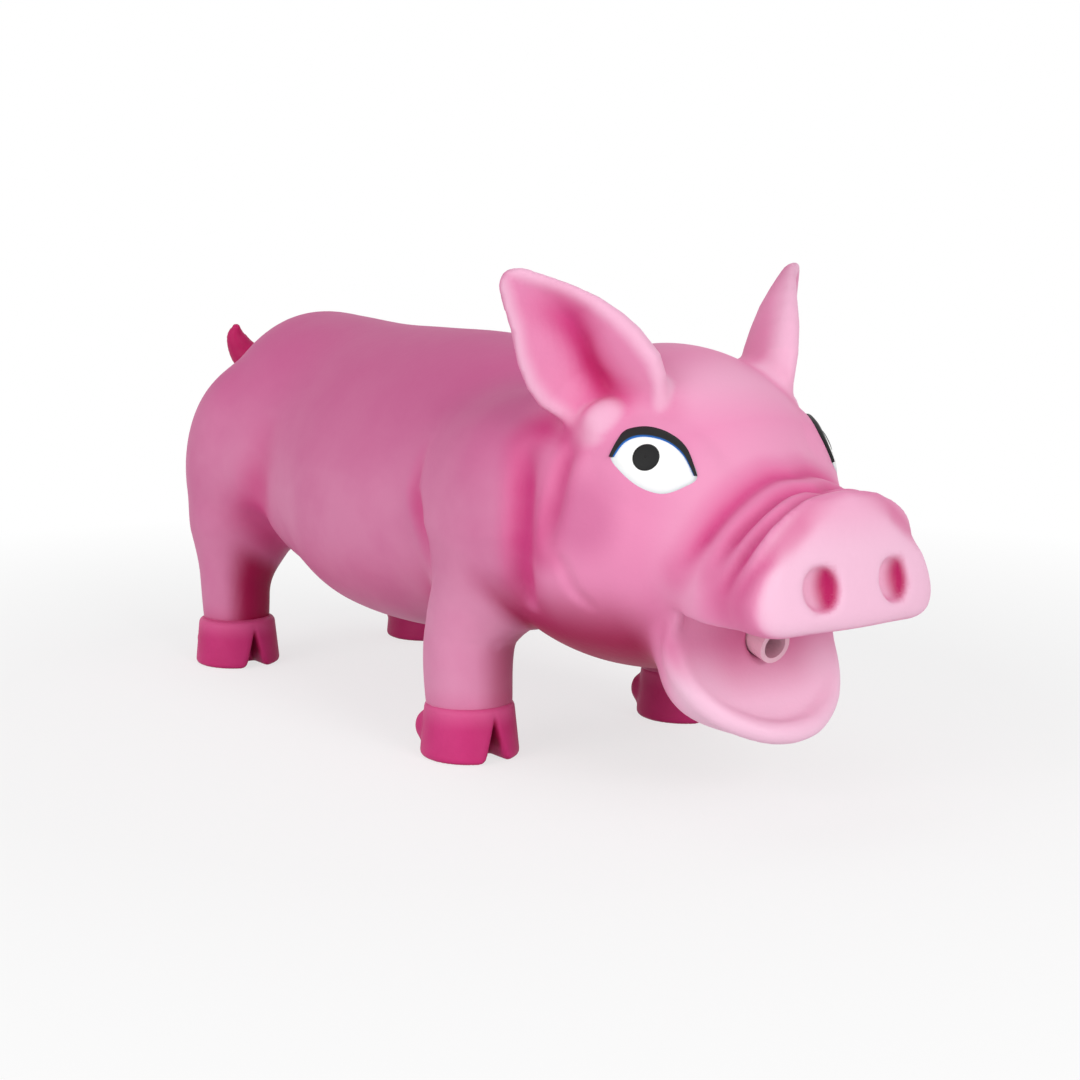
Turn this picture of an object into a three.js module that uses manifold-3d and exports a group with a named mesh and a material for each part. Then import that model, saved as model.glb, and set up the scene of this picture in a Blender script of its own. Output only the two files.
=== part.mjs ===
// Latex pig dog toy: a hollow moulded skin on four hooves, a fibre filling and a reed voice unit.
// Millimetres, +Z up. The snout points along +X, the left flank along +Y, and the soles stand on Z = 0.
import * as THREE from 'three';
import { mergeVertices } from 'three/addons/utils/BufferGeometryUtils.js';
import Module from 'manifold-3d';

const wasm = await Module();
wasm.setup();

// Skin: one latex moulding, divided into nodes at its creases
const WALL = 2.2;
const SEAM = 0.3;
const FILL_GAP = 0.7;

// Torso: half width, rise and drop are at mid length. From rear to front, the sections give these as shares,
// and the taper by which the torso is narrower towards its top
const TORSO_REAR = -98;
const TORSO_FRONT = 52;
const TORSO_REAR_AXIS = 57;
const TORSO_FRONT_AXIS = 52;
const TORSO_HALF_WIDTH = 35;
const TORSO_RISE = 29;
const TORSO_DROP = 37;
const TORSO_SECTIONS = {
  half: [1.6, 1.5, 1.35, 0.96, 1, 1.07, 1.21, 1.2, 1.17],
  rise: [2.1, 1.86, 1.62, 1.24, 1.03, 1, 1.07, 1.17, 1.28, 1.41, 1.55],
  drop: [1.45, 1.27, 1.03, 0.95, 1, 1.04, 1.08, 0.97, 0.86],
  taper: [0.05, 0.12, 0.18, 0.24, 0.3, 0.27, 0.23, 0.19, 0.14],
};

// Head, given in the same way
const HEAD_REAR = 23;
const HEAD_FRONT = 93;
const HEAD_REAR_AXIS = 47;
const HEAD_FRONT_AXIS = 52;
const HEAD_HALF_WIDTH = 32.6;
const HEAD_RISE = 35.3;
const HEAD_DROP = 30;
const HEAD_SECTIONS = {
  half: [1.46, 1.16, 1.05, 1, 0.96, 0.95, 0.94],
  rise: [1.31, 1.14, 1.04, 1, 0.98, 0.97, 0.95],
  drop: [1.37, 1.11, 0.99, 1, 1.02, 1.03, 1.04],
  taper: [0.33, 0.24, 0.14, 0.06, -0.01, -0.08, -0.15],
};

// Snout: a wrinkled muzzle that ends in a flat disc, leaning back at the top
const SNOUT_ROOT = 72;
const SNOUT_FACE = 113;
const SNOUT_AXIS = 48;
const SNOUT_ROOT_HALF = 24;
const SNOUT_ROOT_RISE = 17;
const SNOUT_HALF_WIDTH = 17.4;
const SNOUT_RISE = 12.6;
const SNOUT_DROP = 11.2;
const SNOUT_TAPER = 0.34;
const SNOUT_SQUARENESS = 0.8;
const DISC_THICKNESS = 9;
const DISC_FLARE = 0.9;
const DISC_EDGE = 3;
const DISC_WALL = 8;
const FACE_LEAN = 0.18;
const WRINKLES = 4;
const WRINKLE_PITCH = 4.5;
const WRINKLE_DEPTH = 1.3;
const WRINKLE_LEAN = 0.45;
const NOSTRIL_SPACING = 17.8;
const NOSTRIL_WIDTH = 6.4;
const NOSTRIL_HEIGHT = 7.6;
const NOSTRIL_DEPTH = 4;
const NOSTRIL_DROP = 3.3;

// Lower jaw: a thick lip with a shallow dish
const JAW_CENTRE = new THREE.Vector3(82.3, 0, 27.8);
const JAW_RADII = new THREE.Vector3(21, 17.2, 11.9);
const JAW_LEAN = 38;
const DISH_CENTRE = new THREE.Vector3(95.5, 0, 29.5);
const DISH_RADII = new THREE.Vector3(14, 14.5, 9);
const DISH_LEAN = 44;

// Ears: cupped leaves that open forwards and outwards. A slit divides a flat rear half from a front half that
// rolls over into a lobe. Sections lie at distances down from the tip
const EAR_TIP = new THREE.Vector3(54.6, 36.6, 98.6);
const EAR_ROOT = new THREE.Vector3(69, 18.6, 70);
const EAR_FACING = new THREE.Vector3(0.58, 0.8, 0.1);
const EAR_SECTIONS = [
  { down: 0, front: 2.2, rear: 2.2, slit: 0, cup: 0.3, roll: 0 },
  { down: 2, front: 3.6, rear: 3, slit: 0.4, cup: 0.8, roll: 0 },
  { down: 6, front: 6.3, rear: 4.7, slit: 1.8, cup: 1.8, roll: 0 },
  { down: 10, front: 8.8, rear: 6.3, slit: 3, cup: 2.8, roll: 0.1 },
  { down: 15, front: 11.3, rear: 9, slit: 4.2, cup: 4, roll: 0.5 },
  { down: 20, front: 12.9, rear: 10.6, slit: 3.4, cup: 5.2, roll: 1 },
  { down: 24, front: 13.6, rear: 10.6, slit: 2, cup: 6, roll: 1.5 },
  { down: 30, front: 13.6, rear: 8.3, slit: 1.2, cup: 6.6, roll: 2 },
  { down: 36, front: 9, rear: 5, slit: 2, cup: 6.6, roll: 2 },
];
const EAR_THICKNESS = 4;
const EAR_EDGE_SHARE = 0.5;
const EAR_PINCH_START = 8;
const EAR_PINCH_END = 22;
const EAR_SUNK = 7;
const EAR_LOBE_CENTRE = new THREE.Vector3(31.5, -3, 0.4);
const EAR_LOBE_RADII = new THREE.Vector3(4.2, 4.4, 3.4);

// Eyes: raised almond, pupil and lash, set by the pupil's centre on the head
const EYE_CENTRE = new THREE.Vector3(79, 21.4, 64.9);
const EYE_FACING = new THREE.Vector3(0.556, 0.723, 0.409);
const EYE_WIDTH = 17;
const EYE_RISE = 5.2;
const EYE_DROP = 6.2;
const EYE_RELIEF = 0.9;
const EYE_REACH = 24;
const PUPIL_RADIUS = 3;
const PUPIL_SHIFT = -0.5;
const LASH_HEIGHT = 2.4;

// Legs: a shank under a shoulder or thigh, and the dewclaws of its hoof
const LEGS = {
  front: {
    foot: new THREE.Vector2(30, 28.2),
    shank: 8.9,
    swell: 3,
    joint: new THREE.Vector3(37, 19.5, 48),
    radii: new THREE.Vector3(18, 16.4, 25),
    dewclaw: 2.4,
  },
  rear: {
    foot: new THREE.Vector2(TORSO_REAR + 23, 27.4),
    shank: 8.2,
    swell: 1.6,
    joint: new THREE.Vector3(TORSO_REAR + 19.5, 21, 46.5),
    radii: new THREE.Vector3(16.5, 15, 25.5),
    dewclaw: 1.5,
  },
};

// Hooves: each cleft in front by a wedge that widens towards the floor
const HOOF_RADIUS = 10.2;
const HOOF_TOP_RADIUS = 9.2;
const HOOF_HEIGHT = 11.2;
const HOOF_EDGE = 0.8;
const CLEFT_WIDTH = 4.3;
const CLEFT_HEIGHT = 9.4;
const CLEFT_ROOT = 3.5;
const DEWCLAW_SETBACK = 7.4;
const DEWCLAW_SPACING = 11.2;
const DEWCLAW_HEIGHT = 5.2;
const DEWCLAW_SLENDER = 1.3;

// Tail: a short tapering curl behind the rump
const TAIL_ROOT = new THREE.Vector3(TORSO_REAR + 6, 0, 65);
const TAIL_BEND = new THREE.Vector3(TORSO_REAR - 9, -2.5, 69.5);
const TAIL_TURN = new THREE.Vector3(TORSO_REAR - 12.5, -7, 76);
const TAIL_TIP = new THREE.Vector3(TORSO_REAR - 12, -8, 79);
const TAIL_ROOT_RADIUS = 6.2;
const TAIL_TIP_RADIUS = 1.4;

// Voice unit: a stepped plastic barrel pushed into the mouth, with a reed on a trough inside it
const VOICE_RIM = new THREE.Vector3(91, 0, 29.6);
const VOICE_LEAN = 15;
const TUBE_RADIUS = 3.5;
const TUBE_BORE = 2.5;
const TUBE_LENGTH = 13;
const CHAMBER_RADIUS = 5.5;
const CHAMBER_BORE = 4.7;
const CHAMBER_LENGTH = 25;
const CHAMBER_WALL = 1;
const FIT = 0.3;
const SLOT_WIDTH = 3;
const SLOT_DEPTH = 2.4;
const REED_LENGTH = 15.5;
const REED_WIDTH = 6;
const REED_THICKNESS = 0.4;
const REED_HELD = 2.5;
const WEDGE_LENGTH = 4;
const CAP_THICKNESS = 1.5;
const SPIGOT_LENGTH = 2;
const VENT_WIDTH = 1.2;
const VENT_COUNT = 3;

// A solid from a closed geometry whose faces may point either way
function solid(geometry) {
  let source = geometry.clone();
  source.deleteAttribute('normal');
  source.deleteAttribute('uv');
  source = mergeVertices(source, 1e-4);
  const points = source.getAttribute('position');
  const index = Uint32Array.from(source.getIndex().array);
  const [a, b, c] = [new THREE.Vector3(), new THREE.Vector3(), new THREE.Vector3()];
  let volume = 0;
  for (let i = 0; i < index.length; i += 3) {
    a.fromBufferAttribute(points, index[i]);
    b.fromBufferAttribute(points, index[i + 1]);
    c.fromBufferAttribute(points, index[i + 2]);
    volume += a.dot(b.cross(c));
  }
  if (volume < 0) index.reverse();
  const vertProperties = Float32Array.from(points.array);
  return new wasm.Manifold(new wasm.Mesh({ numProp: 3, vertProperties, triVerts: index }));
}

// A closed body through rings of points, with a fan of triangles to a pole at each end
function loft(rings, firstPole, lastPole) {
  const around = rings[0].length;
  const points = [...rings.flat(), firstPole, lastPole];
  const firstAt = rings.length * around;
  const lastAt = firstAt + 1;
  const lastRing = firstAt - around;
  const index = [];
  for (let i = 0; i < around; i++) {
    const j = (i + 1) % around;
    index.push(firstAt, j, i, lastAt, lastRing + i, lastRing + j);
    for (let ring = 0; ring < lastRing; ring += around) {
      const [p, q] = [ring + i, ring + j];
      index.push(p, q, q + around, p, q + around, p + around);
    }
  }
  const geometry = new THREE.BufferGeometry().setFromPoints(points);
  geometry.setIndex(index);
  return solid(geometry);
}

// The points of one ring, from a function of the turn's cosine and sine
function ring(around, pointAt) {
  return Array.from({ length: around }, (_, i) => {
    const turn = (i / around) * Math.PI * 2;
    return pointAt(Math.cos(turn), Math.sin(turn));
  });
}

// A smooth value through an evenly spaced list, at t from 0 to 1
function along(list, t) {
  return new THREE.SplineCurve(list.map((value, i) => new THREE.Vector2(i, value))).getPoint(t).y;
}

// A swelling body along X with round ends: an ellipsoid whose sections change along its length
function swell(form, offset, steps, around) {
  const middle = (form.rear + form.front) / 2;
  const reach = (form.front - form.rear) / 2 + offset;
  const rings = [];
  for (let step = 1; step < steps; step++) {
    const t = step / steps;
    const round = Math.sin(Math.PI * t);
    const x = middle - Math.cos(Math.PI * t) * reach;
    const axis = THREE.MathUtils.lerp(form.rearAxis, form.frontAxis, t);
    const half = (form.half * along(form.sections.half, t) + offset) * round;
    const rise = (form.rise * along(form.sections.rise, t) + offset) * round;
    const drop = (form.drop * along(form.sections.drop, t) + offset) * round;
    const taper = along(form.sections.taper, t) * round;
    rings.push(ring(around, (c, s) => {
      const z = axis + (s > 0 ? rise : drop) * s;
      return new THREE.Vector3(x, (half * c) / (1 + taper * s), z);
    }));
  }
  const rear = new THREE.Vector3(middle - reach, 0, form.rearAxis);
  const front = new THREE.Vector3(middle + reach, 0, form.frontAxis);
  return loft(rings, rear, front);
}

const TORSO = {
  rear: TORSO_REAR,
  front: TORSO_FRONT,
  rearAxis: TORSO_REAR_AXIS,
  frontAxis: TORSO_FRONT_AXIS,
  half: TORSO_HALF_WIDTH,
  rise: TORSO_RISE,
  drop: TORSO_DROP,
  sections: TORSO_SECTIONS,
};
const HEAD = {
  rear: HEAD_REAR,
  front: HEAD_FRONT,
  rearAxis: HEAD_REAR_AXIS,
  frontAxis: HEAD_FRONT_AXIS,
  half: HEAD_HALF_WIDTH,
  rise: HEAD_RISE,
  drop: HEAD_DROP,
  sections: HEAD_SECTIONS,
};
const torsoForm = (offset) => swell(TORSO, offset, 18, 24);
const headForm = (offset) => swell(HEAD, offset, 12, 24);
const torsoHollow = (inset) => swell(TORSO, -WALL - inset, 12, 14);
const headHollow = (inset) => swell(HEAD, -WALL - inset, 8, 14);

// The muzzle's size from its root to the disc, and the squarish section that it shares with the disc
function snoutSize(x) {
  const t = THREE.MathUtils.smoothstep(x, SNOUT_ROOT, SNOUT_FACE - DISC_THICKNESS);
  return {
    half: THREE.MathUtils.lerp(SNOUT_ROOT_HALF, SNOUT_HALF_WIDTH, t),
    rise: THREE.MathUtils.lerp(SNOUT_ROOT_RISE, SNOUT_RISE, t),
    drop: SNOUT_DROP,
  };
}

function snoutRing(x, lean, offset, wrinkle, around) {
  const size = snoutSize(x);
  const square = (value) => Math.sign(value) * Math.abs(value) ** SNOUT_SQUARENESS;
  return ring(around, (c, s) => {
    const fold = wrinkle * THREE.MathUtils.smoothstep(s, -0.35, 0.25);
    const grow = offset - fold;
    const up = ((s > 0 ? size.rise : size.drop) + grow) * square(s);
    const out = ((size.half + grow) * square(c)) / (1 + SNOUT_TAPER * s);
    return new THREE.Vector3(x + lean * up, out, SNOUT_AXIS + up);
  });
}

// Wrinkles run round the top and sides, the last of them right behind the disc
function snoutForm(offset) {
  const around = 22;
  const rings = [snoutRing(SNOUT_ROOT - offset, 0, offset, 0, around)];
  for (let i = WRINKLES; i > 0; i--) {
    const x = SNOUT_FACE - DISC_THICKNESS - (i - 1) * WRINKLE_PITCH;
    rings.push(snoutRing(x - WRINKLE_PITCH / 2, WRINKLE_LEAN, offset, 0, around));
    rings.push(snoutRing(x - WRINKLE_PITCH / 6, WRINKLE_LEAN, offset, WRINKLE_DEPTH * 0.7, around));
    rings.push(snoutRing(x, WRINKLE_LEAN, offset, WRINKLE_DEPTH, around));
  }
  const back = SNOUT_FACE - DISC_THICKNESS + WRINKLE_PITCH / 3;
  rings.push(snoutRing(back, WRINKLE_LEAN * 0.7, offset + DISC_FLARE / 2, 0, around));
  rings.push(snoutRing(SNOUT_FACE - DISC_EDGE, -FACE_LEAN, offset + DISC_FLARE, 0, around));
  const edge = offset + DISC_FLARE - DISC_EDGE / 3;
  rings.push(snoutRing(SNOUT_FACE - DISC_EDGE / 4, -FACE_LEAN, edge, 0, around));
  rings.push(snoutRing(SNOUT_FACE + offset, -FACE_LEAN, offset + DISC_FLARE - DISC_EDGE, 0, around));
  const root = new THREE.Vector3(SNOUT_ROOT - offset, 0, SNOUT_AXIS);
  return loft(rings, root, new THREE.Vector3(SNOUT_FACE + offset, 0, SNOUT_AXIS));
}

function snoutHollow(inset) {
  const around = 12;
  const offset = -WALL - WRINKLE_DEPTH - inset;
  const end = SNOUT_FACE - DISC_WALL - inset;
  const rings = [
    snoutRing(SNOUT_ROOT - offset, 0, offset, 0, around),
    snoutRing((SNOUT_ROOT + end) / 2, WRINKLE_LEAN, offset, 0, around),
    snoutRing(end, 0, offset, 0, around),
  ];
  const root = new THREE.Vector3(SNOUT_ROOT - offset, 0, SNOUT_AXIS);
  return loft(rings, root, new THREE.Vector3(end, 0, SNOUT_AXIS));
}

// An ellipsoid along the axes of a frame
function ellipsoid(radii, frame, around = 20, steps = 10) {
  const geometry = new THREE.SphereGeometry(1, around, steps);
  geometry.scale(radii.x, radii.y, radii.z);
  geometry.applyMatrix4(frame);
  return solid(geometry);
}

// A frame at a centre, leaning nose down by an angle in degrees
function leaning(centre, degrees) {
  return new THREE.Matrix4().makeRotationY(THREE.MathUtils.degToRad(degrees)).setPosition(centre);
}

// A frame at a distance along X whose own third axis runs along X, with its second axis up
function alongX(x) {
  const sideways = new THREE.Vector3(0, 1, 0);
  const up = new THREE.Vector3(0, 0, 1);
  const ahead = new THREE.Vector3(1, 0, 0);
  return new THREE.Matrix4().makeBasis(sideways, up, ahead).setPosition(x, 0, 0);
}

// A prism of a flat outline along a frame's third axis, centred on the frame's origin
function prism(shape, depth, frame, segments = 7) {
  const geometry = new THREE.ExtrudeGeometry(shape, { depth, bevelEnabled: false, curveSegments: segments });
  geometry.translate(0, 0, -depth / 2);
  geometry.applyMatrix4(frame);
  return solid(geometry);
}

function block(x, y, z, centre) {
  const geometry = new THREE.BoxGeometry(x, y, z);
  geometry.translate(centre.x, centre.y, centre.z);
  return solid(geometry);
}

// A turned body on the X axis from a profile of radius and distance along X
function turned(profile, segments = 20) {
  const points = profile.map(([radius, x]) => new THREE.Vector2(radius, x));
  const geometry = new THREE.LatheGeometry(points, segments);
  geometry.rotateZ(-Math.PI / 2);
  return solid(geometry);
}

const mirrored = (vector, side) => new THREE.Vector3(vector.x, vector.y * side, vector.z);

// A leg from the hoof up: a shank that swells into a shoulder or thigh, offset inwards for its hollow
function legForm(leg, side, offset, around) {
  const bottom = HOOF_HEIGHT + SEAM - Math.min(offset, 0);
  const top = leg.joint.z + leg.radii.z + offset;
  const steps = 10;
  const rings = [];
  for (let step = 0; step < steps; step++) {
    const z = bottom + (top - bottom) * Math.sin((step / steps) * Math.PI / 2);
    const rise = THREE.MathUtils.smoothstep(z, HOOF_HEIGHT, leg.joint.z) ** 2;
    const level = (z - leg.joint.z) / (leg.radii.z + offset);
    const round = Math.sqrt(Math.max(0, 1 - level * level));
    const shank = (leg.shank + leg.swell * rise + offset) * (level > 0 ? round : 1);
    const size = (radius) => ((shank ** 4) + ((radius + offset) * round) ** 4) ** 0.25;
    const x = THREE.MathUtils.lerp(leg.foot.x, leg.joint.x, rise);
    const y = THREE.MathUtils.lerp(leg.foot.y, leg.joint.y, rise) * side;
    rings.push(ring(around, (c, s) => (
      new THREE.Vector3(x + size(leg.radii.x) * c, y + size(leg.radii.y) * s, z)
    )));
  }
  const foot = new THREE.Vector3(leg.foot.x, leg.foot.y * side, bottom);
  return loft(rings, foot, new THREE.Vector3(leg.joint.x, leg.joint.y * side, top));
}

// A solid hoof: a tapering foot with a cleft in front and two dewclaws behind
function hoofForm(leg, side) {
  const wall = turned([
    [0, 0],
    [HOOF_RADIUS - HOOF_EDGE, 0],
    [HOOF_RADIUS, HOOF_EDGE],
    [HOOF_TOP_RADIUS, HOOF_HEIGHT - HOOF_EDGE],
    [HOOF_TOP_RADIUS - HOOF_EDGE, HOOF_HEIGHT],
    [0, HOOF_HEIGHT],
  ], 16).rotate([0, -90, 0]);
  const cleft = new THREE.Shape();
  cleft.moveTo(0, CLEFT_HEIGHT);
  cleft.lineTo(-CLEFT_WIDTH / 2, 0);
  cleft.lineTo(-CLEFT_WIDTH / 2, -HOOF_EDGE);
  cleft.lineTo(CLEFT_WIDTH / 2, -HOOF_EDGE);
  cleft.lineTo(CLEFT_WIDTH / 2, 0);
  let hoof = wall.subtract(prism(cleft, HOOF_RADIUS * 2, alongX(CLEFT_ROOT + HOOF_RADIUS)));
  const radii = new THREE.Vector3(leg.dewclaw, leg.dewclaw, leg.dewclaw * DEWCLAW_SLENDER);
  for (const claw of [-1, 1]) {
    const centre = new THREE.Vector3(-DEWCLAW_SETBACK, (claw * DEWCLAW_SPACING) / 2, DEWCLAW_HEIGHT);
    hoof = hoof.add(ellipsoid(radii, leaning(centre, 0), 10, 6));
  }
  return hoof.translate([leg.foot.x, leg.foot.y * side, 0]);
}

// One section of an ear: its outer face from the rear edge to the front edge, then its inner face back.
// The front half's inner face is pinched in towards the slit
function earRing(section, frame) {
  const columns = [-1, -0.85, -0.55, -0.25, 0, 0.25, 0.55, 0.85, 1];
  const reached = THREE.MathUtils.inverseLerp(EAR_PINCH_START, EAR_PINCH_END, section.down);
  const pinched = THREE.MathUtils.clamp(reached, 0, 1);
  const point = (v, inside) => {
    const share = Math.abs(v);
    const edge = v > 0 ? section.front - section.slit : section.rear + section.slit;
    const bowl = section.cup * (1 - share ** 2) ** 1.5;
    const fold = section.cup * (1 - share) ** 1.7;
    const face = THREE.MathUtils.lerp(bowl, fold, v > 0 ? pinched : 0);
    const thick = (EAR_THICKNESS / 2) * (1 - (1 - EAR_EDGE_SHARE) * share ** 4);
    const out = inside ? thick - face + section.roll * Math.max(v, 0) : -thick - bowl;
    return new THREE.Vector3(section.down, section.slit + v * edge, out).applyMatrix4(frame);
  };
  return [...columns.map((v) => point(v, false)), ...columns.reverse().map((v) => point(v, true))];
}

// A cupped leaf from its tip into the head, with a small lobe at the foot of its rear half
function earForm(side) {
  const down = EAR_ROOT.clone().sub(EAR_TIP).normalize();
  const out = EAR_FACING.clone().addScaledVector(down, -EAR_FACING.dot(down)).normalize();
  const across = new THREE.Vector3().crossVectors(down, out);
  const frame = new THREE.Matrix4().makeBasis(down, across, out).setPosition(EAR_TIP);
  frame.premultiply(new THREE.Matrix4().makeScale(1, side, 1));
  const rings = EAR_SECTIONS.map((section) => earRing(section, frame));
  const last = EAR_SECTIONS[EAR_SECTIONS.length - 1];
  const end = new THREE.Vector3(last.down + EAR_SUNK, last.slit, -last.cup).applyMatrix4(frame);
  const leaf = loft(rings, mirrored(EAR_TIP, side), end);
  const lobeFrame = frame.clone().multiply(leaning(EAR_LOBE_CENTRE, 0));
  return leaf.add(ellipsoid(EAR_LOBE_RADII, lobeFrame, 12, 8));
}

function tailForm() {
  const curve = new THREE.CatmullRomCurve3([TAIL_ROOT, TAIL_BEND, TAIL_TURN, TAIL_TIP]);
  const steps = 8;
  const frames = curve.computeFrenetFrames(steps);
  const rings = [];
  for (let step = 0; step <= steps; step++) {
    const centre = curve.getPointAt(step / steps);
    const radius = THREE.MathUtils.lerp(TAIL_ROOT_RADIUS, TAIL_TIP_RADIUS, step / steps);
    rings.push(ring(10, (c, s) => centre.clone()
      .addScaledVector(frames.normals[step], radius * c)
      .addScaledVector(frames.binormals[step], radius * s)));
  }
  const tip = curve.getPointAt(1).addScaledVector(frames.tangents[steps], TAIL_TIP_RADIUS / 2);
  return loft(rings, curve.getPointAt(0), tip);
}

// Eye outlines in a frame whose first axis runs forwards along the head and whose third faces out
function eyeFrame(side) {
  const out = mirrored(EYE_FACING, side).normalize();
  const up = new THREE.Vector3(0, 0, 1).addScaledVector(out, -out.z).normalize();
  const forward = new THREE.Vector3().crossVectors(up, out).multiplyScalar(side > 0 ? -1 : 1);
  const frame = new THREE.Matrix4().makeBasis(forward, up, out);
  return frame.setPosition(mirrored(EYE_CENTRE, side));
}

function almond(rise, drop, width) {
  const shape = new THREE.Shape();
  const half = width / 2;
  shape.moveTo(-half, 0);
  shape.bezierCurveTo(-half * 0.6, rise * 1.3, half * 0.35, rise * 1.45, half, -drop * 0.3);
  shape.bezierCurveTo(half * 0.5, -drop * 1.25, -half * 0.6, -drop * 1.2, -half, 0);
  return shape;
}

const eyeLayer = headForm(SEAM + EYE_RELIEF).subtract(headForm(SEAM)).subtract(snoutForm(SEAM));

function eyePieces(side) {
  const frame = eyeFrame(side);
  const cutter = (shape, x = 0, y = 0) => {
    const shifted = frame.clone().multiply(new THREE.Matrix4().makeTranslation(x, y, 0));
    return prism(shape, EYE_REACH, shifted);
  };
  const round = (radius) => cutter(new THREE.Shape().absarc(0, 0, radius, 0, Math.PI * 2), PUPIL_SHIFT);
  const white = cutter(almond(EYE_RISE, EYE_DROP, EYE_WIDTH));
  const lid = cutter(almond(EYE_RISE + SEAM, EYE_DROP + SEAM, EYE_WIDTH + 2 * SEAM));
  const brow = cutter(almond(EYE_RISE + LASH_HEIGHT, EYE_DROP, EYE_WIDTH + LASH_HEIGHT), 0, LASH_HEIGHT / 4);
  const below = cutter(almond(EYE_RISE, EYE_DROP * 3, EYE_WIDTH * 1.5), 0, -EYE_DROP / 2);
  return {
    white: eyeLayer.intersect(white).subtract(round(PUPIL_RADIUS + SEAM)),
    pupil: eyeLayer.intersect(round(PUPIL_RADIUS)),
    lash: eyeLayer.intersect(brow).subtract(lid).subtract(below),
  };
}

// Voice unit: distances run along X from the rim, negative into the head
const chamberStart = -TUBE_LENGTH - CHAMBER_WALL;
const chamberEnd = -TUBE_LENGTH - CHAMBER_LENGTH;
const troughStart = chamberStart - FIT;
const troughEnd = chamberEnd + SPIGOT_LENGTH + FIT;
const troughRadius = CHAMBER_BORE - FIT;
const troughTop = -REED_THICKNESS / 2 - FIT;
const reedEnd = troughEnd + FIT;
const reedPivot = reedEnd + REED_HELD;
const voicePlace = new THREE.Matrix4()
  .makeRotationY(THREE.MathUtils.degToRad(VOICE_LEAN))
  .setPosition(VOICE_RIM);

function voiceBarrel() {
  return turned([
    [TUBE_RADIUS, 0],
    [TUBE_BORE, 0],
    [TUBE_BORE, chamberStart],
    [CHAMBER_BORE, chamberStart],
    [CHAMBER_BORE, chamberEnd],
    [CHAMBER_RADIUS, chamberEnd],
    [CHAMBER_RADIUS, -TUBE_LENGTH],
    [TUBE_RADIUS, -TUBE_LENGTH],
    [TUBE_RADIUS, 0],
  ]);
}

// A segment of a round bar above or below a level, along X between two distances
function barSegment(level, above, from, to) {
  const half = Math.asin(level / troughRadius);
  const shape = new THREE.Shape();
  if (above) shape.absarc(0, 0, troughRadius, half, Math.PI - half);
  else shape.absarc(0, 0, troughRadius, Math.PI - half, 2 * Math.PI + half);
  return prism(shape, to - from, alongX((from + to) / 2), 12);
}

// The trough carries the reed over an air slot that runs out of its front end
function reedTrough() {
  const bar = barSegment(troughTop, false, troughEnd, troughStart);
  const slotEnd = reedPivot + WEDGE_LENGTH / 2;
  const length = troughStart - slotEnd + FIT;
  const centre = new THREE.Vector3(slotEnd + length / 2, 0, troughTop);
  return bar.subtract(block(length, SLOT_WIDTH, SLOT_DEPTH * 2, centre));
}

function reedTongue() {
  const half = REED_WIDTH / 2;
  const shape = new THREE.Shape();
  shape.moveTo(reedEnd, -half);
  shape.lineTo(reedEnd + REED_LENGTH - half, -half);
  shape.absarc(reedEnd + REED_LENGTH - half, 0, half, -Math.PI / 2, Math.PI / 2);
  shape.lineTo(reedEnd, half);
  return prism(shape, REED_THICKNESS, new THREE.Matrix4(), 8);
}

function reedWedge() {
  return barSegment(REED_THICKNESS / 2 + FIT, true, reedEnd, reedEnd + WEDGE_LENGTH);
}

// The cap closes the chamber, and its vents let air through but keep the fibre off the reed
function guardCap() {
  let cap = turned([
    [0, chamberEnd - FIT - CAP_THICKNESS],
    [CHAMBER_RADIUS, chamberEnd - FIT - CAP_THICKNESS],
    [CHAMBER_RADIUS, chamberEnd - FIT],
    [troughRadius, chamberEnd - FIT],
    [troughRadius, chamberEnd + SPIGOT_LENGTH],
    [0, chamberEnd + SPIGOT_LENGTH],
  ]);
  const pitch = (troughRadius * 2) / (VENT_COUNT + 1);
  for (let vent = 0; vent < VENT_COUNT; vent++) {
    const y = (vent - (VENT_COUNT - 1) / 2) * pitch;
    cap = cap.subtract(block(CHAMBER_LENGTH, VENT_WIDTH, troughRadius, new THREE.Vector3(chamberEnd, y, 0)));
  }
  return cap;
}

// Room for the voice unit in the skin and in the filling
function voiceRoom(gap) {
  const end = chamberEnd - FIT - CAP_THICKNESS - gap;
  return turned([
    [0, end],
    [CHAMBER_RADIUS + gap, end],
    [CHAMBER_RADIUS + gap, -TUBE_LENGTH + gap],
    [TUBE_RADIUS + gap, -TUBE_LENGTH + gap],
    [TUBE_RADIUS + gap, CHAMBER_LENGTH],
    [0, CHAMBER_LENGTH],
  ]).transform(voicePlace.toArray());
}

// Colours of the latex, its paint and the inner pieces
const SKIN_PINK = 0xdd8bb0;
const FACE_PINK = 0xeeacca;
const EAR_PINK = 0xe06a9f;
const HOOF_PAINT = 0xc93c82;
const TAIL_PAINT = 0xb01c5c;
const EYE_WHITE = 0xfdfdfb;
const EYE_BLACK = 0x1a1a18;
const FIBRE_WHITE = 0xf1eee8;
const TUBE_PINK = 0xd9a3b5;
const REED_AMBER = 0xd8c9a0;

const toy = new THREE.Group();

function place(name, body, color, roughness, parent = toy) {
  const { vertProperties, triVerts } = body.getMesh();
  const geometry = new THREE.BufferGeometry();
  geometry.setAttribute('position', new THREE.BufferAttribute(vertProperties, 3));
  geometry.setIndex(new THREE.BufferAttribute(triVerts, 1));
  geometry.computeVertexNormals();
  const mesh = new THREE.Mesh(geometry, new THREE.MeshStandardMaterial({ color, roughness, metalness: 0 }));
  mesh.name = name;
  parent.add(mesh);
}

// Skin, larger forms first: each smaller form is cut back to its larger neighbour
const SIDES = { right: -1, left: 1 };
const torsoCut = torsoForm(SEAM);
const headCut = headForm(SEAM);
const snoutCut = snoutForm(SEAM);
const voiceCut = voiceRoom(SEAM);

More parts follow.
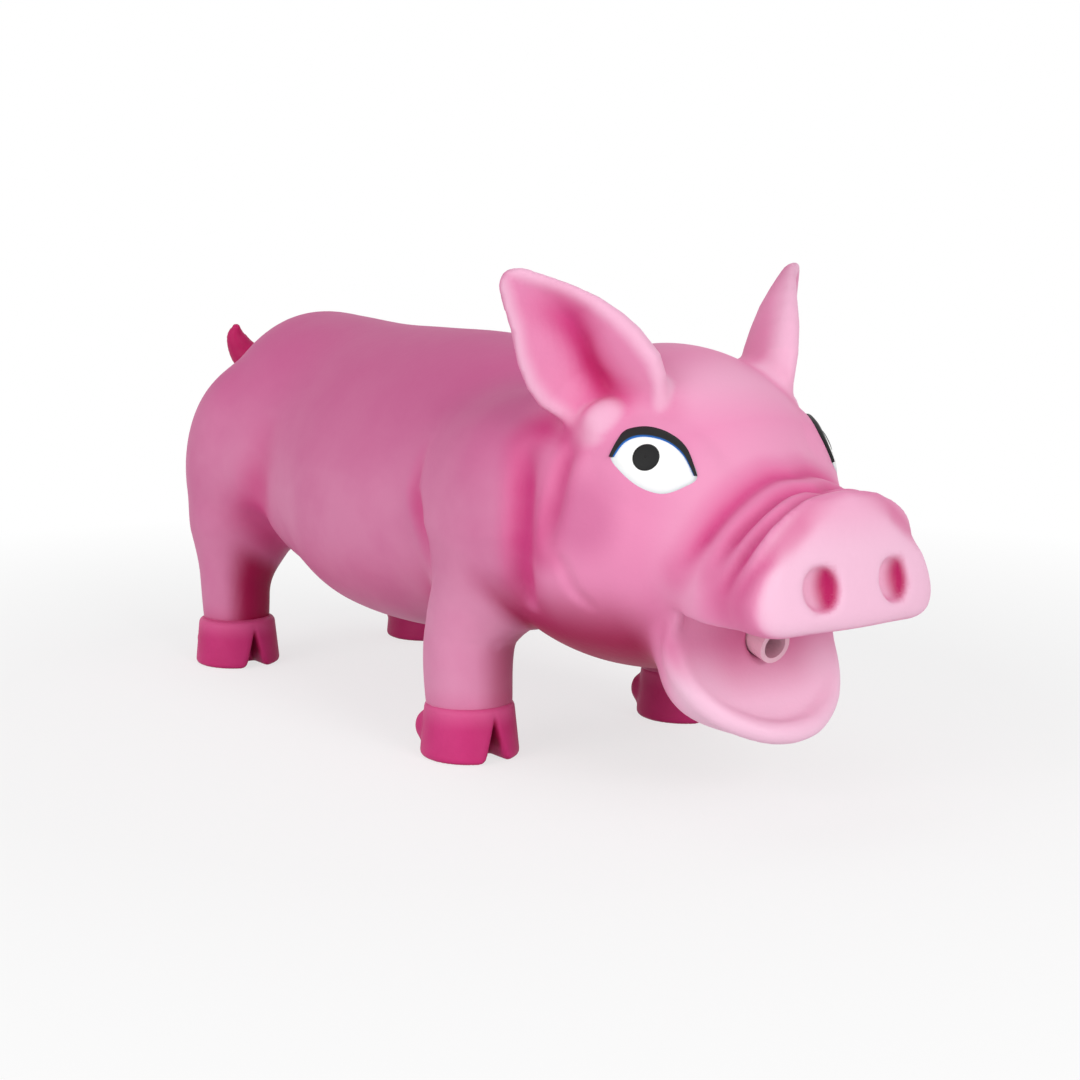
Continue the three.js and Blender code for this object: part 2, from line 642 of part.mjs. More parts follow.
let torso = torsoForm(0).subtract(torsoHollow(0)).subtract(headHollow(SEAM));
const head = headForm(0).subtract(headHollow(0))
  .subtract(torsoCut).subtract(snoutHollow(SEAM)).subtract(voiceCut);
for (const side of Object.values(SIDES)) {
  for (const leg of Object.values(LEGS)) torso = torso.subtract(legForm(leg, side, -WALL - SEAM, 8));
}
place('torso', torso, SKIN_PINK, 0.6);
place('head', head, FACE_PINK, 0.6);

let snout = snoutForm(0).subtract(snoutHollow(0)).subtract(headCut).subtract(voiceCut);
for (const side of Object.values(SIDES)) {
  const centre = new THREE.Vector3(
    SNOUT_FACE + FACE_LEAN * NOSTRIL_DROP,
    (side * NOSTRIL_SPACING) / 2,
    SNOUT_AXIS - NOSTRIL_DROP,
  );
  const radii = new THREE.Vector3(NOSTRIL_DEPTH, NOSTRIL_WIDTH / 2, NOSTRIL_HEIGHT / 2);
  snout = snout.subtract(ellipsoid(radii, leaning(centre, 0), 14, 8));
}
place('snout', snout, FACE_PINK, 0.6);

const dish = ellipsoid(DISH_RADII, leaning(DISH_CENTRE, DISH_LEAN));
const jaw = ellipsoid(JAW_RADII, leaning(JAW_CENTRE, JAW_LEAN)).subtract(dish)
  .subtract(torsoCut).subtract(headCut).subtract(snoutCut).subtract(voiceCut);
place('lower_jaw', jaw, FACE_PINK, 0.6);

for (const [sideName, side] of Object.entries(SIDES)) {
  place(`ear_${sideName}`, earForm(side).subtract(headCut).subtract(torsoCut), EAR_PINK, 0.6);
  for (const [legName, leg] of Object.entries(LEGS)) {
    const limb = legForm(leg, side, 0, 14).subtract(legForm(leg, side, -WALL, 8));
    place(`${legName}_leg_${sideName}`, limb.subtract(torsoCut).subtract(headCut), SKIN_PINK, 0.6);
    place(`${legName}_hoof_${sideName}`, hoofForm(leg, side), HOOF_PAINT, 0.55);
  }
  const eye = eyePieces(side);
  place(`eye_white_${sideName}`, eye.white, EYE_WHITE, 0.35);
  place(`pupil_${sideName}`, eye.pupil, EYE_BLACK, 0.3);
  place(`eye_lash_${sideName}`, eye.lash, EYE_BLACK, 0.4);
}
place('tail', tailForm().subtract(torsoCut), TAIL_PAINT, 0.55);

// Filling: the hollow of torso and head, with a pocket for the voice unit
const filling = torsoHollow(FILL_GAP).add(headHollow(FILL_GAP)).subtract(voiceRoom(FILL_GAP));
place('fibre_filling', filling, FIBRE_WHITE, 0.95);

const voice = new THREE.Group();
voice.applyMatrix4(voicePlace);
toy.add(voice);
place('voice_barrel', voiceBarrel(), TUBE_PINK, 0.45, voice);
place('reed_trough', reedTrough(), TUBE_PINK, 0.45, voice);
place('reed', reedTongue(), REED_AMBER, 0.3, voice);
place('reed_wedge', reedWedge(), TUBE_PINK, 0.45, voice);
place('guard_cap', guardCap(), TUBE_PINK, 0.45, voice);

export default toy;
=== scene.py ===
import bpy
import numpy as np
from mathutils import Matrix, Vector


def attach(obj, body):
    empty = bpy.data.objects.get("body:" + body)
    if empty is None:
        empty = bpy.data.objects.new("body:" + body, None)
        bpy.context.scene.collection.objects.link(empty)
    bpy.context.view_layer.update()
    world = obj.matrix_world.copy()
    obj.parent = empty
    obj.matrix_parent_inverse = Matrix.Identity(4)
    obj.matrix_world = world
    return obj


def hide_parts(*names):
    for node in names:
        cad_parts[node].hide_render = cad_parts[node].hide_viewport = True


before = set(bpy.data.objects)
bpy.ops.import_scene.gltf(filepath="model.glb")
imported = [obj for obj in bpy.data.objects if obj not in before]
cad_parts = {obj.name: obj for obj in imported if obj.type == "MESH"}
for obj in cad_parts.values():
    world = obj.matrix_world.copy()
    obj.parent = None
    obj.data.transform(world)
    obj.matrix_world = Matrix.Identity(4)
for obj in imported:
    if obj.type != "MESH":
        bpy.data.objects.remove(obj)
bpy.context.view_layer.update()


# Torso: the fat body of one hollow moulding of natural latex, about 2 mm thick.
# Each form of the skin gives distances in millimetres to its surface, below zero inside, so that
# forms flow together as the master's clay did. One half is measured, and the other mirrors it.
TORSO_REAR = -98
TORSO_FRONT = 52
TORSO_AXIS = (57, 52)
TORSO_HALF = (54, 50.4, 46.6, 33.5, 35, 37.5, 42.5, 42, 41)
TORSO_RISE = (61, 54, 47, 36, 30, 29, 31, 34, 37, 41, 45)
TORSO_DROP = (53.5, 47, 38, 35, 37, 38.5, 40, 37, 33.5)
TORSO_TAPER = (0.2, 0.27, 0.27, 0.25, 0.3, 0.27, 0.23, 0.19, 0.14)
FLANK_HOLLOW = ((-62.5, 34, 26), (9.5, 16, 9.5))
HOLLOW_EDGE = 6
THIGH_FOLD = [(-52, 27.5, 64), (-52.5, 31.5, 52.5), (-57, 31.5, 42.5), (-62.5, 27.5, 35), (-64.5, 24, 31)]
THIGH_PRESS = (5, 1.8, 0.4, 0)


def smooth_line(points, count, closed=False):
    """A smooth curve through a few points, as count places spread evenly along it."""
    points = np.array(points, float)
    last = len(points) if closed else len(points) - 1
    t = np.linspace(0, last, count, endpoint=not closed)
    i = np.minimum(t.astype(int), last - 1)
    t = (t - i)[:, None]
    near = [k % len(points) if closed else np.clip(k, 0, len(points) - 1) for k in (i - 1, i, i + 1, i + 2)]
    a, b, c, d = [points[k] for k in near]
    bend = (2 * a - 5 * b + 4 * c - d) * t ** 2 + (3 * b - a - 3 * c + d) * t ** 3
    return 0.5 * (2 * b + (c - a) * t + bend)


def ellipsoid(p, centre, radii):
    """Distance from points p to an ellipsoid."""
    q = p - np.array(centre, float)
    near = np.linalg.norm(q / radii, axis=1)
    slope = np.linalg.norm(q / np.square(radii), axis=1)
    return near * (near - 1) / np.maximum(slope, 1e-9)


def swelling(p, rear, front, axis, half, rise, drop, taper):
    """Distance to a body along X that swells from rear to front and narrows towards its top."""
    middle, reach = (rear + front) / 2, (front - rear) / 2
    turn = np.arccos(np.clip((middle - p[:, 0]) / reach, -1, 1)) / np.pi
    fine = 200
    rows = [smooth_line(np.array(row)[:, None], fine)[:, 0] for row in (half, rise, drop, taper)]
    half, rise, drop, taper = [np.interp(turn, np.linspace(0, 1, fine), row) for row in rows]
    z = p[:, 2] - axis[0] - (axis[1] - axis[0]) * turn
    tall = np.where(z > 0, rise, drop)
    y = p[:, 1] * (1 + taper * np.clip(z / tall, -1, 1))
    q = np.stack([p[:, 0] - middle, y, z], 1)
    return ellipsoid(q, (0, 0, 0), np.stack([np.full(len(p), reach), half, tall], 1))


def join(a, b, fillet):
    """Two forms as one, with a fillet where they meet."""
    share = np.maximum(fillet - np.abs(a - b), 0) / fillet
    return np.minimum(a, b) - share * share * fillet / 4


def meet(a, b, fillet):
    """What lies in both forms, with a rounded edge."""
    return -join(-a, -b, fillet)


def carve(a, b, fillet):
    """Form a with form b taken out of it, with a rounded edge."""
    return meet(a, -b, fillet)


def follow(p, route):
    """Distance from p to a route of straight steps, and the nearest place's share of the way along it."""
    route = np.array(route, float)
    nearest = np.full(len(p), np.inf)
    share = np.zeros(len(p))
    for i, (start, end) in enumerate(zip(route[:-1], route[1:])):
        step = end - start
        t = np.clip((p - start) @ step / (step @ step), 0, 1)
        gap = np.linalg.norm(p - start - t[:, None] * step, axis=1)
        share = np.where(gap < nearest, (i + t) / (len(route) - 1), share)
        nearest = np.minimum(nearest, gap)
    return nearest, share


def crease(p, route, width, depth, start=0.25, end=0.25):
    """Depth of a soft crease pressed in along a route, running out over a share of it at each end."""
    gap, share = follow(p, route)
    run_in = np.clip(share / start, 0, 1) if start else 1
    run_out = np.clip((1 - share) / end, 0, 1) if end else 1
    return depth * run_in * run_out * np.exp(-np.square(gap / width))


def torso_form(p):
    body = swelling(p, TORSO_REAR, TORSO_FRONT, TORSO_AXIS, TORSO_HALF, TORSO_RISE, TORSO_DROP, TORSO_TAPER)
    body = carve(body, ellipsoid(p, *FLANK_HOLLOW), HOLLOW_EDGE)
    return body + crease(p, THIGH_FOLD, *THIGH_PRESS)


# Head: skull and jowls of the same moulding, set on the chest with almost no neck.
# Three folds hang behind each cheek, and a low mound carries each eye.
HEAD_REAR = 23
HEAD_FRONT = 93
HEAD_AXIS = (47, 52)
HEAD_HALF = (47.6, 37.8, 34.1, 32.6, 31.3, 30.9, 30.6)
HEAD_RISE = (46, 39.6, 35.8, 34.7, 34.5, 34.1, 33.7)
HEAD_DROP = (43, 34.8, 30, 29.4, 30.4, 30.9, 31.2)
HEAD_TAPER = (0.33, 0.24, 0.14, 0.06, -0.01, -0.08, -0.15)
NECK_FOLD = [(51.5, 28.5, 66.5), (53.7, 31, 61), (55.2, 32.5, 55.5), (55.7, 33.2, 50), (55, 32.8, 44),
             (53.5, 31, 38), (53, 28, 33.5)]
NECK_PRESS = (2.6, 3, 0.25, 0.2)
CHEEK_FOLD = [(64.5, 27, 68), (63.4, 28.6, 63.5), (63.6, 30.6, 57.5), (62.8, 31.8, 51), (61.8, 31.8, 46.5)]
CHEEK_PRESS = (1.8, 2, 0.25, 0.4)
JOWL_FOLD = [(64.5, 31.2, 47), (66, 30.6, 43.5), (67, 29.2, 39.5), (70.5, 25.5, 35.3)]
JOWL_PRESS = (1.3, 1, 0.3, 0.4)
NECK_FILLET = 4
EYE_CENTRE = np.array([79.2, 21.3, 64.9])
EYE_OUT = np.array([0.556, 0.723, 0.409])
EYE_ALONG = np.array([0.83, -0.511, -0.224])
EYE_UP = np.array([-0.047, -0.464, 0.884])
EYE_MOUND = (11.5, 8.2, 4.6)
MOUND_AT = (1.6, 0, -3.3)
MOUND_FILLET = 2


def on_eye(p):
    """Places as seen by the eye: millimetres towards its front corner, up, and out."""
    q = p - EYE_CENTRE
    return np.stack([q @ EYE_ALONG, q @ EYE_UP, q @ EYE_OUT], 1)


def neck_creases(p):
    folds = crease(p, NECK_FOLD, *NECK_PRESS) + crease(p, CHEEK_FOLD, *CHEEK_PRESS)
    return folds + crease(p, JOWL_FOLD, *JOWL_PRESS)


def head_form(p):
    head = swelling(p, HEAD_REAR, HEAD_FRONT, HEAD_AXIS, HEAD_HALF, HEAD_RISE, HEAD_DROP, HEAD_TAPER)
    mound = ellipsoid(on_eye(p), MOUND_AT, EYE_MOUND)
    return join(head, mound, MOUND_FILLET)


# Snout: the moulded muzzle with four wrinkles across its back and a flat nose disc with two nostrils.
# The disc leans back at the top, and the wrinkles lean forward, so they run close together on the bridge.
MUZZLE = [(76, 0, 48.5), (104, 0, 46.6)]
MUZZLE_RADII = (19.5, 13.2)
MUZZLE_SPREAD = 0.86
MUZZLE_EDGE = 4
MUZZLE_INSET = 2
MUZZLE_FILLET = 2.5
UPPER_LIP = 36.5
DISC_CENTRE = (106.5, 0, 46.6)
DISC_LEAN = np.radians(10)
DISC_HALF = 6.2
DISC_CROWN = 0.006
SNOUT_LENGTH = 24
DISC_RISE = 13.8
DISC_DROP = 10.9
DISC_SIDE = 19
DISC_SLANT = (0.93, 0.36)
DISC_EDGE = 4
DISC_CORNER = 7
SLANT_CORNER = ((-6, 3), (13, 8.5))
SNOUT_GROWTH = 0.02
SNOUT_END = 14
SNOUT_FILLET = 6
NOSTRIL = ((6, 8.9, -3), (3.4, 3.9, 4.2))
NOSTRIL_EDGE = 1.2
WRINKLES = [
    ([(95.6, 0, 63), (94.4, 4.8, 62.9), (94.2, 9, 61.4), (93.7, 13.4, 58.6), (92.6, 16.7, 55),
      (91.3, 18.6, 51.7), (89.7, 19.7, 48.3), (87.7, 20.4, 45.4)], 0.9, 0),
    ([(101.9, 0, 61), (100.3, 3.8, 61.1), (99.8, 7.7, 60.1), (100, 11.6, 58.1), (99.2, 14.4, 55.6),
      (98, 16.5, 52.9), (97.1, 17.7, 50.1), (96.3, 18.5, 46.7)], 1.3, 0),
    ([(104, 0, 60.5), (104.9, 6.1, 59.8), (105.6, 10.4, 58.4), (105.4, 13.3, 56.3), (104.1, 15.7, 53.1),
      (102.4, 17.2, 49.8), (101, 18.3, 46.5), (100.1, 19.4, 42.5)], 1.3, 0),
    ([(108, 0, 60), (108.7, 5.8, 59.2), (109, 9.6, 57.7), (109.3, 12.3, 55.7), (109, 15, 53),
      (108, 16.9, 49.8), (106.6, 18.1, 46.9), (105.5, 19.5, 42.5)], 0.7, 0.45),
]
WRINKLE_MIDDLE = 44
WRINKLE_SHARP = 1.1
WRINKLE_SLOW = 2.3
WRINKLE_REACH = 3.2
WRINKLE_RUN_OUT = 0.22


def on_disc(p):
    """Places as seen by the nose disc: millimetres out of its face, to its side, and up."""
    q = p - np.array(DISC_CENTRE)
    out = q[:, 0] * np.cos(DISC_LEAN) + q[:, 2] * np.sin(DISC_LEAN)
    up = q[:, 2] * np.cos(DISC_LEAN) - q[:, 0] * np.sin(DISC_LEAN)
    return np.stack([out, q[:, 1], up], 1)


def across_snout(p, route):
    """How far in front of a wrinkle's line each place lies, and its share of the way round the snout."""
    line = np.array(route, float)
    turns = np.arctan2(line[:, 1], line[:, 2] - WRINKLE_MIDDLE)
    turn = np.arctan2(p[:, 1], p[:, 2] - WRINKLE_MIDDLE)
    return p[:, 0] - np.interp(turn, turns, line[:, 0]), turn / turns[-1]


def wrinkle_press(p):
    """Depth of each wrinkle, with a sharp drop behind its line and a slow rise in front of it."""
    press = []
    for route, depth, start in WRINKLES:
        ahead, share = across_snout(p, route)
        run = np.clip((1 - share) / WRINKLE_RUN_OUT, 0, 1) * (np.clip(share / start, 0, 1) if start else 1)
        near = np.exp(-(follow(p, route)[0] / WRINKLE_REACH) ** 4)
        width = np.where(ahead > 0, WRINKLE_SLOW, WRINKLE_SHARP)
        press.append(depth * run * near * np.exp(-np.square(ahead / width)))
    return np.array(press)


def snout_form(p):
    q = on_disc(p)
    face = q[:, 0] - DISC_HALF + DISC_CROWN * q[:, 1] ** 2
    gap, share = follow(p * [1, MUZZLE_SPREAD, 1], MUZZLE)
    muzzle = meet(gap - np.interp(share, (0, 1), MUZZLE_RADII), UPPER_LIP - p[:, 2], MUZZLE_EDGE)
    muzzle = meet(muzzle, face + MUZZLE_INSET, MUZZLE_EDGE)
    growth = SNOUT_GROWTH * np.clip(-q[:, 0], 0, None)
    slant = q[:, 1] * DISC_SLANT[0] + q[:, 2] * DISC_SLANT[1] - DISC_SIDE - growth
    outline = meet(-q[:, 2] - DISC_DROP, q[:, 2] - DISC_RISE, DISC_CORNER)
    outline = meet(outline, slant, np.interp(q[:, 0], *SLANT_CORNER))
    nose = meet(meet(outline, face, DISC_EDGE), -q[:, 0] - SNOUT_LENGTH, SNOUT_END)
    return carve(join(muzzle, nose, MUZZLE_FILLET), ellipsoid(q, *NOSTRIL), NOSTRIL_EDGE)


# Lower jaw and mouth: the jaw hangs open like a scoop, with a rolled lip and a sloping floor behind it.
# A web of latex joins it to the snout on each side. The voice tube is pushed through a hole in the back wall.
JAW_CENTRE = (82.3, 0, 27.8)
JAW_RADII = (21, 17.2, 11.9)
JAW_LEAN = np.radians(38)
JAW_FILLET = 4
MOUTH_CORNER = (86.5, 0, 22.5)
MOUTH_FLOOR = (0.61, 0, 0.79)
MOUTH_DISH = 0.009
MOUTH_WALL = (1, 0, -0.08)
MOUTH_SPREAD = -0.006
MOUTH_HALF = 23
MOUTH_FLARE = 0.6
MOUTH_ROOF = (106, 0, 36.8)
ROOF_LEAN = 0.17
ROOF_ARCH = 0.005
FLOOR_FILLET = 8
SIDE_FILLET = 3.5
ROOF_FILLET = 3
MOUTH_EDGE = 1.5
CHEEK_WEB = [(89, 12.5, 40), (85, 12.5, 31), (84.5, 11.5, 24)]
CHEEK_WEB_RADIUS = 5.6
CHEEK_WEB_FILLET = 9
LIP = [(96.3, 0, 14.4), (95.7, 5, 14.8), (93.8, 9.8, 16.2), (91.4, 13.8, 18.3), (88.8, 16.5, 21),
       (86.2, 18.2, 24.3), (84, 19.2, 27.8), (84, 19.4, 32), (86, 19, 36.5)]
LIP_RADII = (2, 2, 1.9, 1.8, 1.6, 1.4, 1.2, 1, 0.6)
LIP_FILLET = 1.6
TUBE_RIM = np.array([91, 0, 29.6])
TUBE_LEAN = np.radians(15)
TUBE_HOLE = 3.7
TUBE_DEPTH = 16
TUBE_END_EDGE = 0.5
TUBE_EDGE = 0.6


def jaw_form(p):
    q = p - np.array(JAW_CENTRE)
    along = q[:, 0] * np.cos(JAW_LEAN) - q[:, 2] * np.sin(JAW_LEAN)
    up = q[:, 2] * np.cos(JAW_LEAN) + q[:, 0] * np.sin(JAW_LEAN)
    return ellipsoid(np.stack([along, q[:, 1], up], 1), (0, 0, 0), JAW_RADII)


def mouth_form(p):
    q = p - np.array(MOUTH_CORNER)
    floor = MOUTH_DISH * p[:, 1] ** 2 - q @ np.array(MOUTH_FLOOR)
    wall = MOUTH_SPREAD * p[:, 1] ** 2 - q @ np.array(MOUTH_WALL)
    side = p[:, 1] - MOUTH_HALF - MOUTH_FLARE * np.clip(p[:, 0] - LIP[3][0], 0, None)
    roof = p[:, 2] - MOUTH_ROOF[2] - ROOF_LEAN * (MOUTH_ROOF[0] - p[:, 0]) + ROOF_ARCH * p[:, 1] ** 2
    return meet(meet(meet(floor, wall, FLOOR_FILLET), side, SIDE_FILLET), roof, ROOF_FILLET)


def tube_form(p, route, radii, count=24):
    """A round tube along a smooth route, with a radius at each of the route's points."""
    gap, share = follow(p, smooth_line(route, count))
    return gap - np.interp(share, np.linspace(0, 1, len(radii)), radii)


def lip_form(p):
    return tube_form(p, LIP, LIP_RADII)


def web_form(p):
    return follow(p, CHEEK_WEB)[0] - CHEEK_WEB_RADIUS


def tube_hole_form(p):
    axis = np.array([np.cos(TUBE_LEAN), 0, -np.sin(TUBE_LEAN)])
    q = p - TUBE_RIM
    along = q @ axis
    radius = np.linalg.norm(q - along[:, None] * axis, axis=1)
    return meet(radius - TUBE_HOLE, np.abs(along) - TUBE_DEPTH, TUBE_END_EDGE)


# Ears: cupped leaves of thick latex, moulded with the head and leaning out and back.
# The rear half is a flat leaf, the front half rolls over into a lobe, and a slit between them runs down
# to the root.
EAR_TIP = np.array([55, 36.6, 98.8])
EAR_ROOT = np.array([69.4, 18.6, 70])
EAR_FACING = np.array([0.58, 0.8, 0.1])
EAR_STATIONS = (0, 2, 6, 10, 15, 20, 24, 30, 33.5, 38)
EAR_FRONT = (2.2, 3.6, 6.3, 8.8, 11.3, 12.9, 13.6, 13.6, 12.2, 9)
EAR_REAR = (2.2, 3, 4.7, 6.3, 9, 10.6, 10.8, 8.8, 7.2, 5)
EAR_SLIT = (0, 0.4, 1.8, 3, 4.2, 3.4, 2, 1.2, 1.7, 2)
EAR_CUP = (0.3, 0.8, 1.8, 2.8, 4, 5.2, 6, 6.6, 6.6, 6.6)
EAR_THICK = (1.6, 1.7, 1.8, 1.9, 2, 2, 2, 2, 2, 2)
FRONT_LOBE = (0, 0, 0, 0.1, 0.5, 1, 1.5, 2, 2, 2)
EAR_END = 37.5
EAR_EDGE = 3
EAR_EDGE_SLOPE = 0.85
EAR_END_EDGE = 2.6
EAR_FILLET = 3
PINCH_FROM = 8
PINCH_OVER = 14
PINCH_POWER = 1.7
LOBE = ((33.8, -3.2, 0.6), (4, 4.8, 3.6))
LOBE_FILLET = 1.6
ear_down = (EAR_ROOT - EAR_TIP) / np.linalg.norm(EAR_ROOT - EAR_TIP)
ear_out = EAR_FACING - (EAR_FACING @ ear_down) * ear_down
ear_out = ear_out / np.linalg.norm(ear_out)
ear_across = np.cross(ear_down, ear_out)


def on_ear(p):
    """Places as seen by the ear: millimetres down from its tip, across to its front, and out of its cup."""
    q = p - EAR_TIP
    return np.stack([q @ ear_down, q @ ear_across, q @ ear_out], 1)


def ear_form(p):
    """A leaf bent to a bowl and pinched in front, where each slope keeps the wall evenly thick."""
    q = on_ear(p)
    down, across, out = q.T
    front, rear, slit, cup, thick, lobe = [np.interp(down, EAR_STATIONS, row) for row in (
        EAR_FRONT, EAR_REAR, EAR_SLIT, EAR_CUP, EAR_THICK, FRONT_LOBE)]
    before = np.clip((across - slit) / (front - slit), 0, 1)
    behind = np.clip((slit - across) / (rear + slit), 0, 1)
    share = np.maximum(before, behind)
    span = np.where(across > slit, front - slit, rear + slit)
    bowl = cup * (1 - share ** 2) ** 1.5
    bowl_steep = 3 * cup * share * np.sqrt(1 - share ** 2) / span
    pinch = np.clip((down - PINCH_FROM) / PINCH_OVER, 0, 1) * (across > slit)
    fold = cup * (1 - share) ** PINCH_POWER
    face = bowl + pinch * (fold - bowl)
    fold_steep = PINCH_POWER * cup * (1 - share) ** (PINCH_POWER - 1) / span
    face_steep = bowl_steep + pinch * (fold_steep - bowl_steep)
    inner = (out + face - thick - lobe * before) / np.sqrt(1 + face_steep ** 2)
    outer = (-out - bowl - thick) / np.sqrt(1 + bowl_steep ** 2)
    edge = EAR_EDGE_SLOPE * np.maximum(across - front, -across - rear)
    leaf = meet(np.maximum(inner, outer), edge, EAR_EDGE)
    leaf = meet(leaf, np.maximum(-down, down - EAR_END), EAR_END_EDGE)
    return join(leaf, ellipsoid(q, *LOBE), LOBE_FILLET)


# Legs: short stout posts of the moulding, each ending square on its hoof.
# The front ones run up into a broad shoulder, and the rear ones into a thigh.
SHOULDER = ((37, 19.5, 50), (18, 16.4, 22.5))
FRONT_LIMB = ([(34.5, 23.4, 42), (29.7, 27.4, 25), (29.9, 28, 10)], (12.3, 9.4, 8.8))
SHOULDER_FOLD = [(18, 29, 65), (19, 34, 54), (22.5, 35.5, 49), (24.5, 36, 44), (23.5, 35.5, 37), (22, 34, 29)]
SHOULDER_PRESS = (1.8, 1.8, 0.35, 0)
THIGH = ((-79, 21, 46.5), (15.8, 15.2, 25.5))
REAR_LIMB = ([(-79.5, 25.3, 32), (-76.3, 26.6, 10)], (9.2, 7.9))
SHOULDER_FILLET = ((30, 48), (1.6, 11))
THIGH_FILLET = 3.5
MUSCLE_FILLET = 6
HOOF_HEIGHT = 11.2
CUFF = 0.8


def limb_form(p, muscle, limb):
    route, radii = limb
    post = tube_form(p, route, radii)
    return meet(join(ellipsoid(p, *muscle), post, MUSCLE_FILLET), HOOF_HEIGHT - CUFF - p[:, 2], CUFF)


# Skin: the whole moulding as one continuous wall, from the tail root to the nose.
# It is airbrushed pink, rose and pale on the face and dusky on the flanks. Its colour also carries painted
# shade:
# deep pink and magenta in every fold and hollow, wine under the body and inside the legs, and a darker top;
# and painted highlight on the forehead, the ear rims and lobes, and the front of the nose disc.
SKIN_STEP = 0.8
SKIN_ROOM = ((-106, -44, 6), (120, 44, 104))
MM = 0.001


def mirrored(p):
    """The same places on the half where the forms are measured."""
    q = p.copy()
    q[:, 1] = np.abs(q[:, 1])
    return q


def skin_form(p):
    q = mirrored(p)
    skin = join(torso_form(q), head_form(q), NECK_FILLET)
    skin = join(skin, snout_form(q), SNOUT_FILLET)
    skin = skin + wrinkle_press(q).sum(0)
    skin = join(join(skin, jaw_form(q), JAW_FILLET), web_form(q), CHEEK_WEB_FILLET)
    skin = join(carve(skin, mouth_form(q), MOUTH_EDGE), lip_form(q), LIP_FILLET)
    skin = carve(skin, tube_hole_form(q), TUBE_EDGE)
    skin = join(skin, limb_form(q, SHOULDER, FRONT_LIMB), np.interp(q[:, 2], *SHOULDER_FILLET))
    skin = join(skin, limb_form(q, THIGH, REAR_LIMB), THIGH_FILLET)
    skin = skin + neck_creases(q) + crease(q, SHOULDER_FOLD, *SHOULDER_PRESS)
    return join(skin, ear_form(q), EAR_FILLET)


def slope_of(form, p):
    """Which way the form's distance grows at each point, as unit arrows."""
    reach = 0.05
    arrows = np.stack([form(p + d) - form(p - d) for d in np.eye(3) * reach], 1)
    return arrows / np.maximum(np.linalg.norm(arrows, axis=1, keepdims=True), 1e-9)


def wrap(form, low, high, step):
    """A closed mesh of quads round a form: one vertex in each grid cell that the surface crosses."""
    low = np.array(low, float)
    coarse = 4
    margin = 2.2
    counts = np.ceil((np.array(high) - low) / (step * coarse)).astype(int)
    grid = np.indices(counts + 1).reshape(3, -1).T
    rough = form(low + grid * step * coarse).reshape(counts + 1)
    size = counts * coarse + 1
    spread = [np.minimum((np.arange(n) + coarse // 2) // coarse, c) for n, c in zip(size, counts)]
    value = rough[np.ix_(*spread)]
    near = np.abs(value) < margin * step * coarse
    value[near] = form(low + np.argwhere(near) * step)
    inside = value < 0
    corners = np.array(list(np.ndindex(2, 2, 2)))
    nx, ny, nz = size - 1
    filled = sum(inside[i:nx + i, j:ny + j, k:nz + k].astype(int) for i, j, k in corners)
    crossed = (filled > 0) & (filled < len(corners))
    cells = np.argwhere(crossed)
    number = np.full(crossed.shape, -1)
    number[crossed] = np.arange(len(cells))
    total = np.zeros((len(cells), 3))
    hits = np.zeros(len(cells))
    faces = []
    for axis in range(3):
        unit = np.eye(3, dtype=int)[axis]
        for corner in corners[corners[:, axis] == 0]:
            a = value[tuple((cells + corner).T)]
            b = value[tuple((cells + corner + unit).T)]
            hit = (a < 0) != (b < 0)
            t = a / np.where(hit, a - b, 1)
            total += np.where(hit[:, None], cells + corner + t[:, None] * unit, 0)
            hits += hit
        u, v = [np.eye(3, dtype=int)[(axis + turn) % 3] for turn in (1, 2)]
        first = np.take(inside, range(size[axis] - 1), axis)
        edges = np.argwhere(first != np.take(inside, range(1, size[axis]), axis))
        quads = np.stack([number[tuple((edges - d).T)] for d in (u + v, v, 0 * u, u)], 1)
        outward = first[tuple(edges.T)]
        faces.append(np.where(outward[:, None], quads, quads[:, ::-1]))
    points = low + step * total / hits[:, None]
    for _ in range(2):
        points -= np.clip(form(points), -step, step)[:, None] * slope_of(form, points)
    return points, np.concatenate(faces)


def mesh_piece(name, points, faces, material):
    """A smooth mesh in the scene, from places in millimetres."""
    mesh = bpy.data.meshes.new(name)
    mesh.from_pydata((points * MM).tolist(), [], faces.tolist())
    mesh.shade_smooth()
    mesh.materials.append(material)
    piece = bpy.data.objects.new(name, mesh)
    bpy.context.scene.collection.objects.link(piece)
    return piece


def brush(piece, name, amount):
    """Lays one coat down as an amount from 0 to 1 at each vertex: airbrushed paint, painted shade and painted
    highlight are all laid this way.
    """
    layer = piece.data.attributes.new(name, "FLOAT", "POINT")
    layer.data.foreach_set("value", np.clip(amount, 0, 1).astype(np.float32))


def ramp(value, start, end):
    """A soft step from 0 at start to 1 at end."""
    t = np.clip((value - start) / (end - start), 0, 1)
    return t * t * (3 - 2 * t)


def soften(amount, faces, rounds=4):
    """Spreads an amount a little between neighbouring vertices."""
    count = np.bincount(faces.ravel(), minlength=len(amount))
    for _ in range(rounds):
        shared = np.repeat(amount[faces].mean(1), faces.shape[1])
        amount = np.bincount(faces.ravel(), shared, len(amount)) / count
    return amount


def ink(red, green, blue):
    """A paint colour as read from a colour card, 0 to 255, turned into light."""
    card = np.array([red, green, blue]) / 255
    light = np.where(card <= 0.04045, card / 12.92, ((card + 0.055) / 1.055) ** 2.4)
    return (*light.tolist(), 1.0)


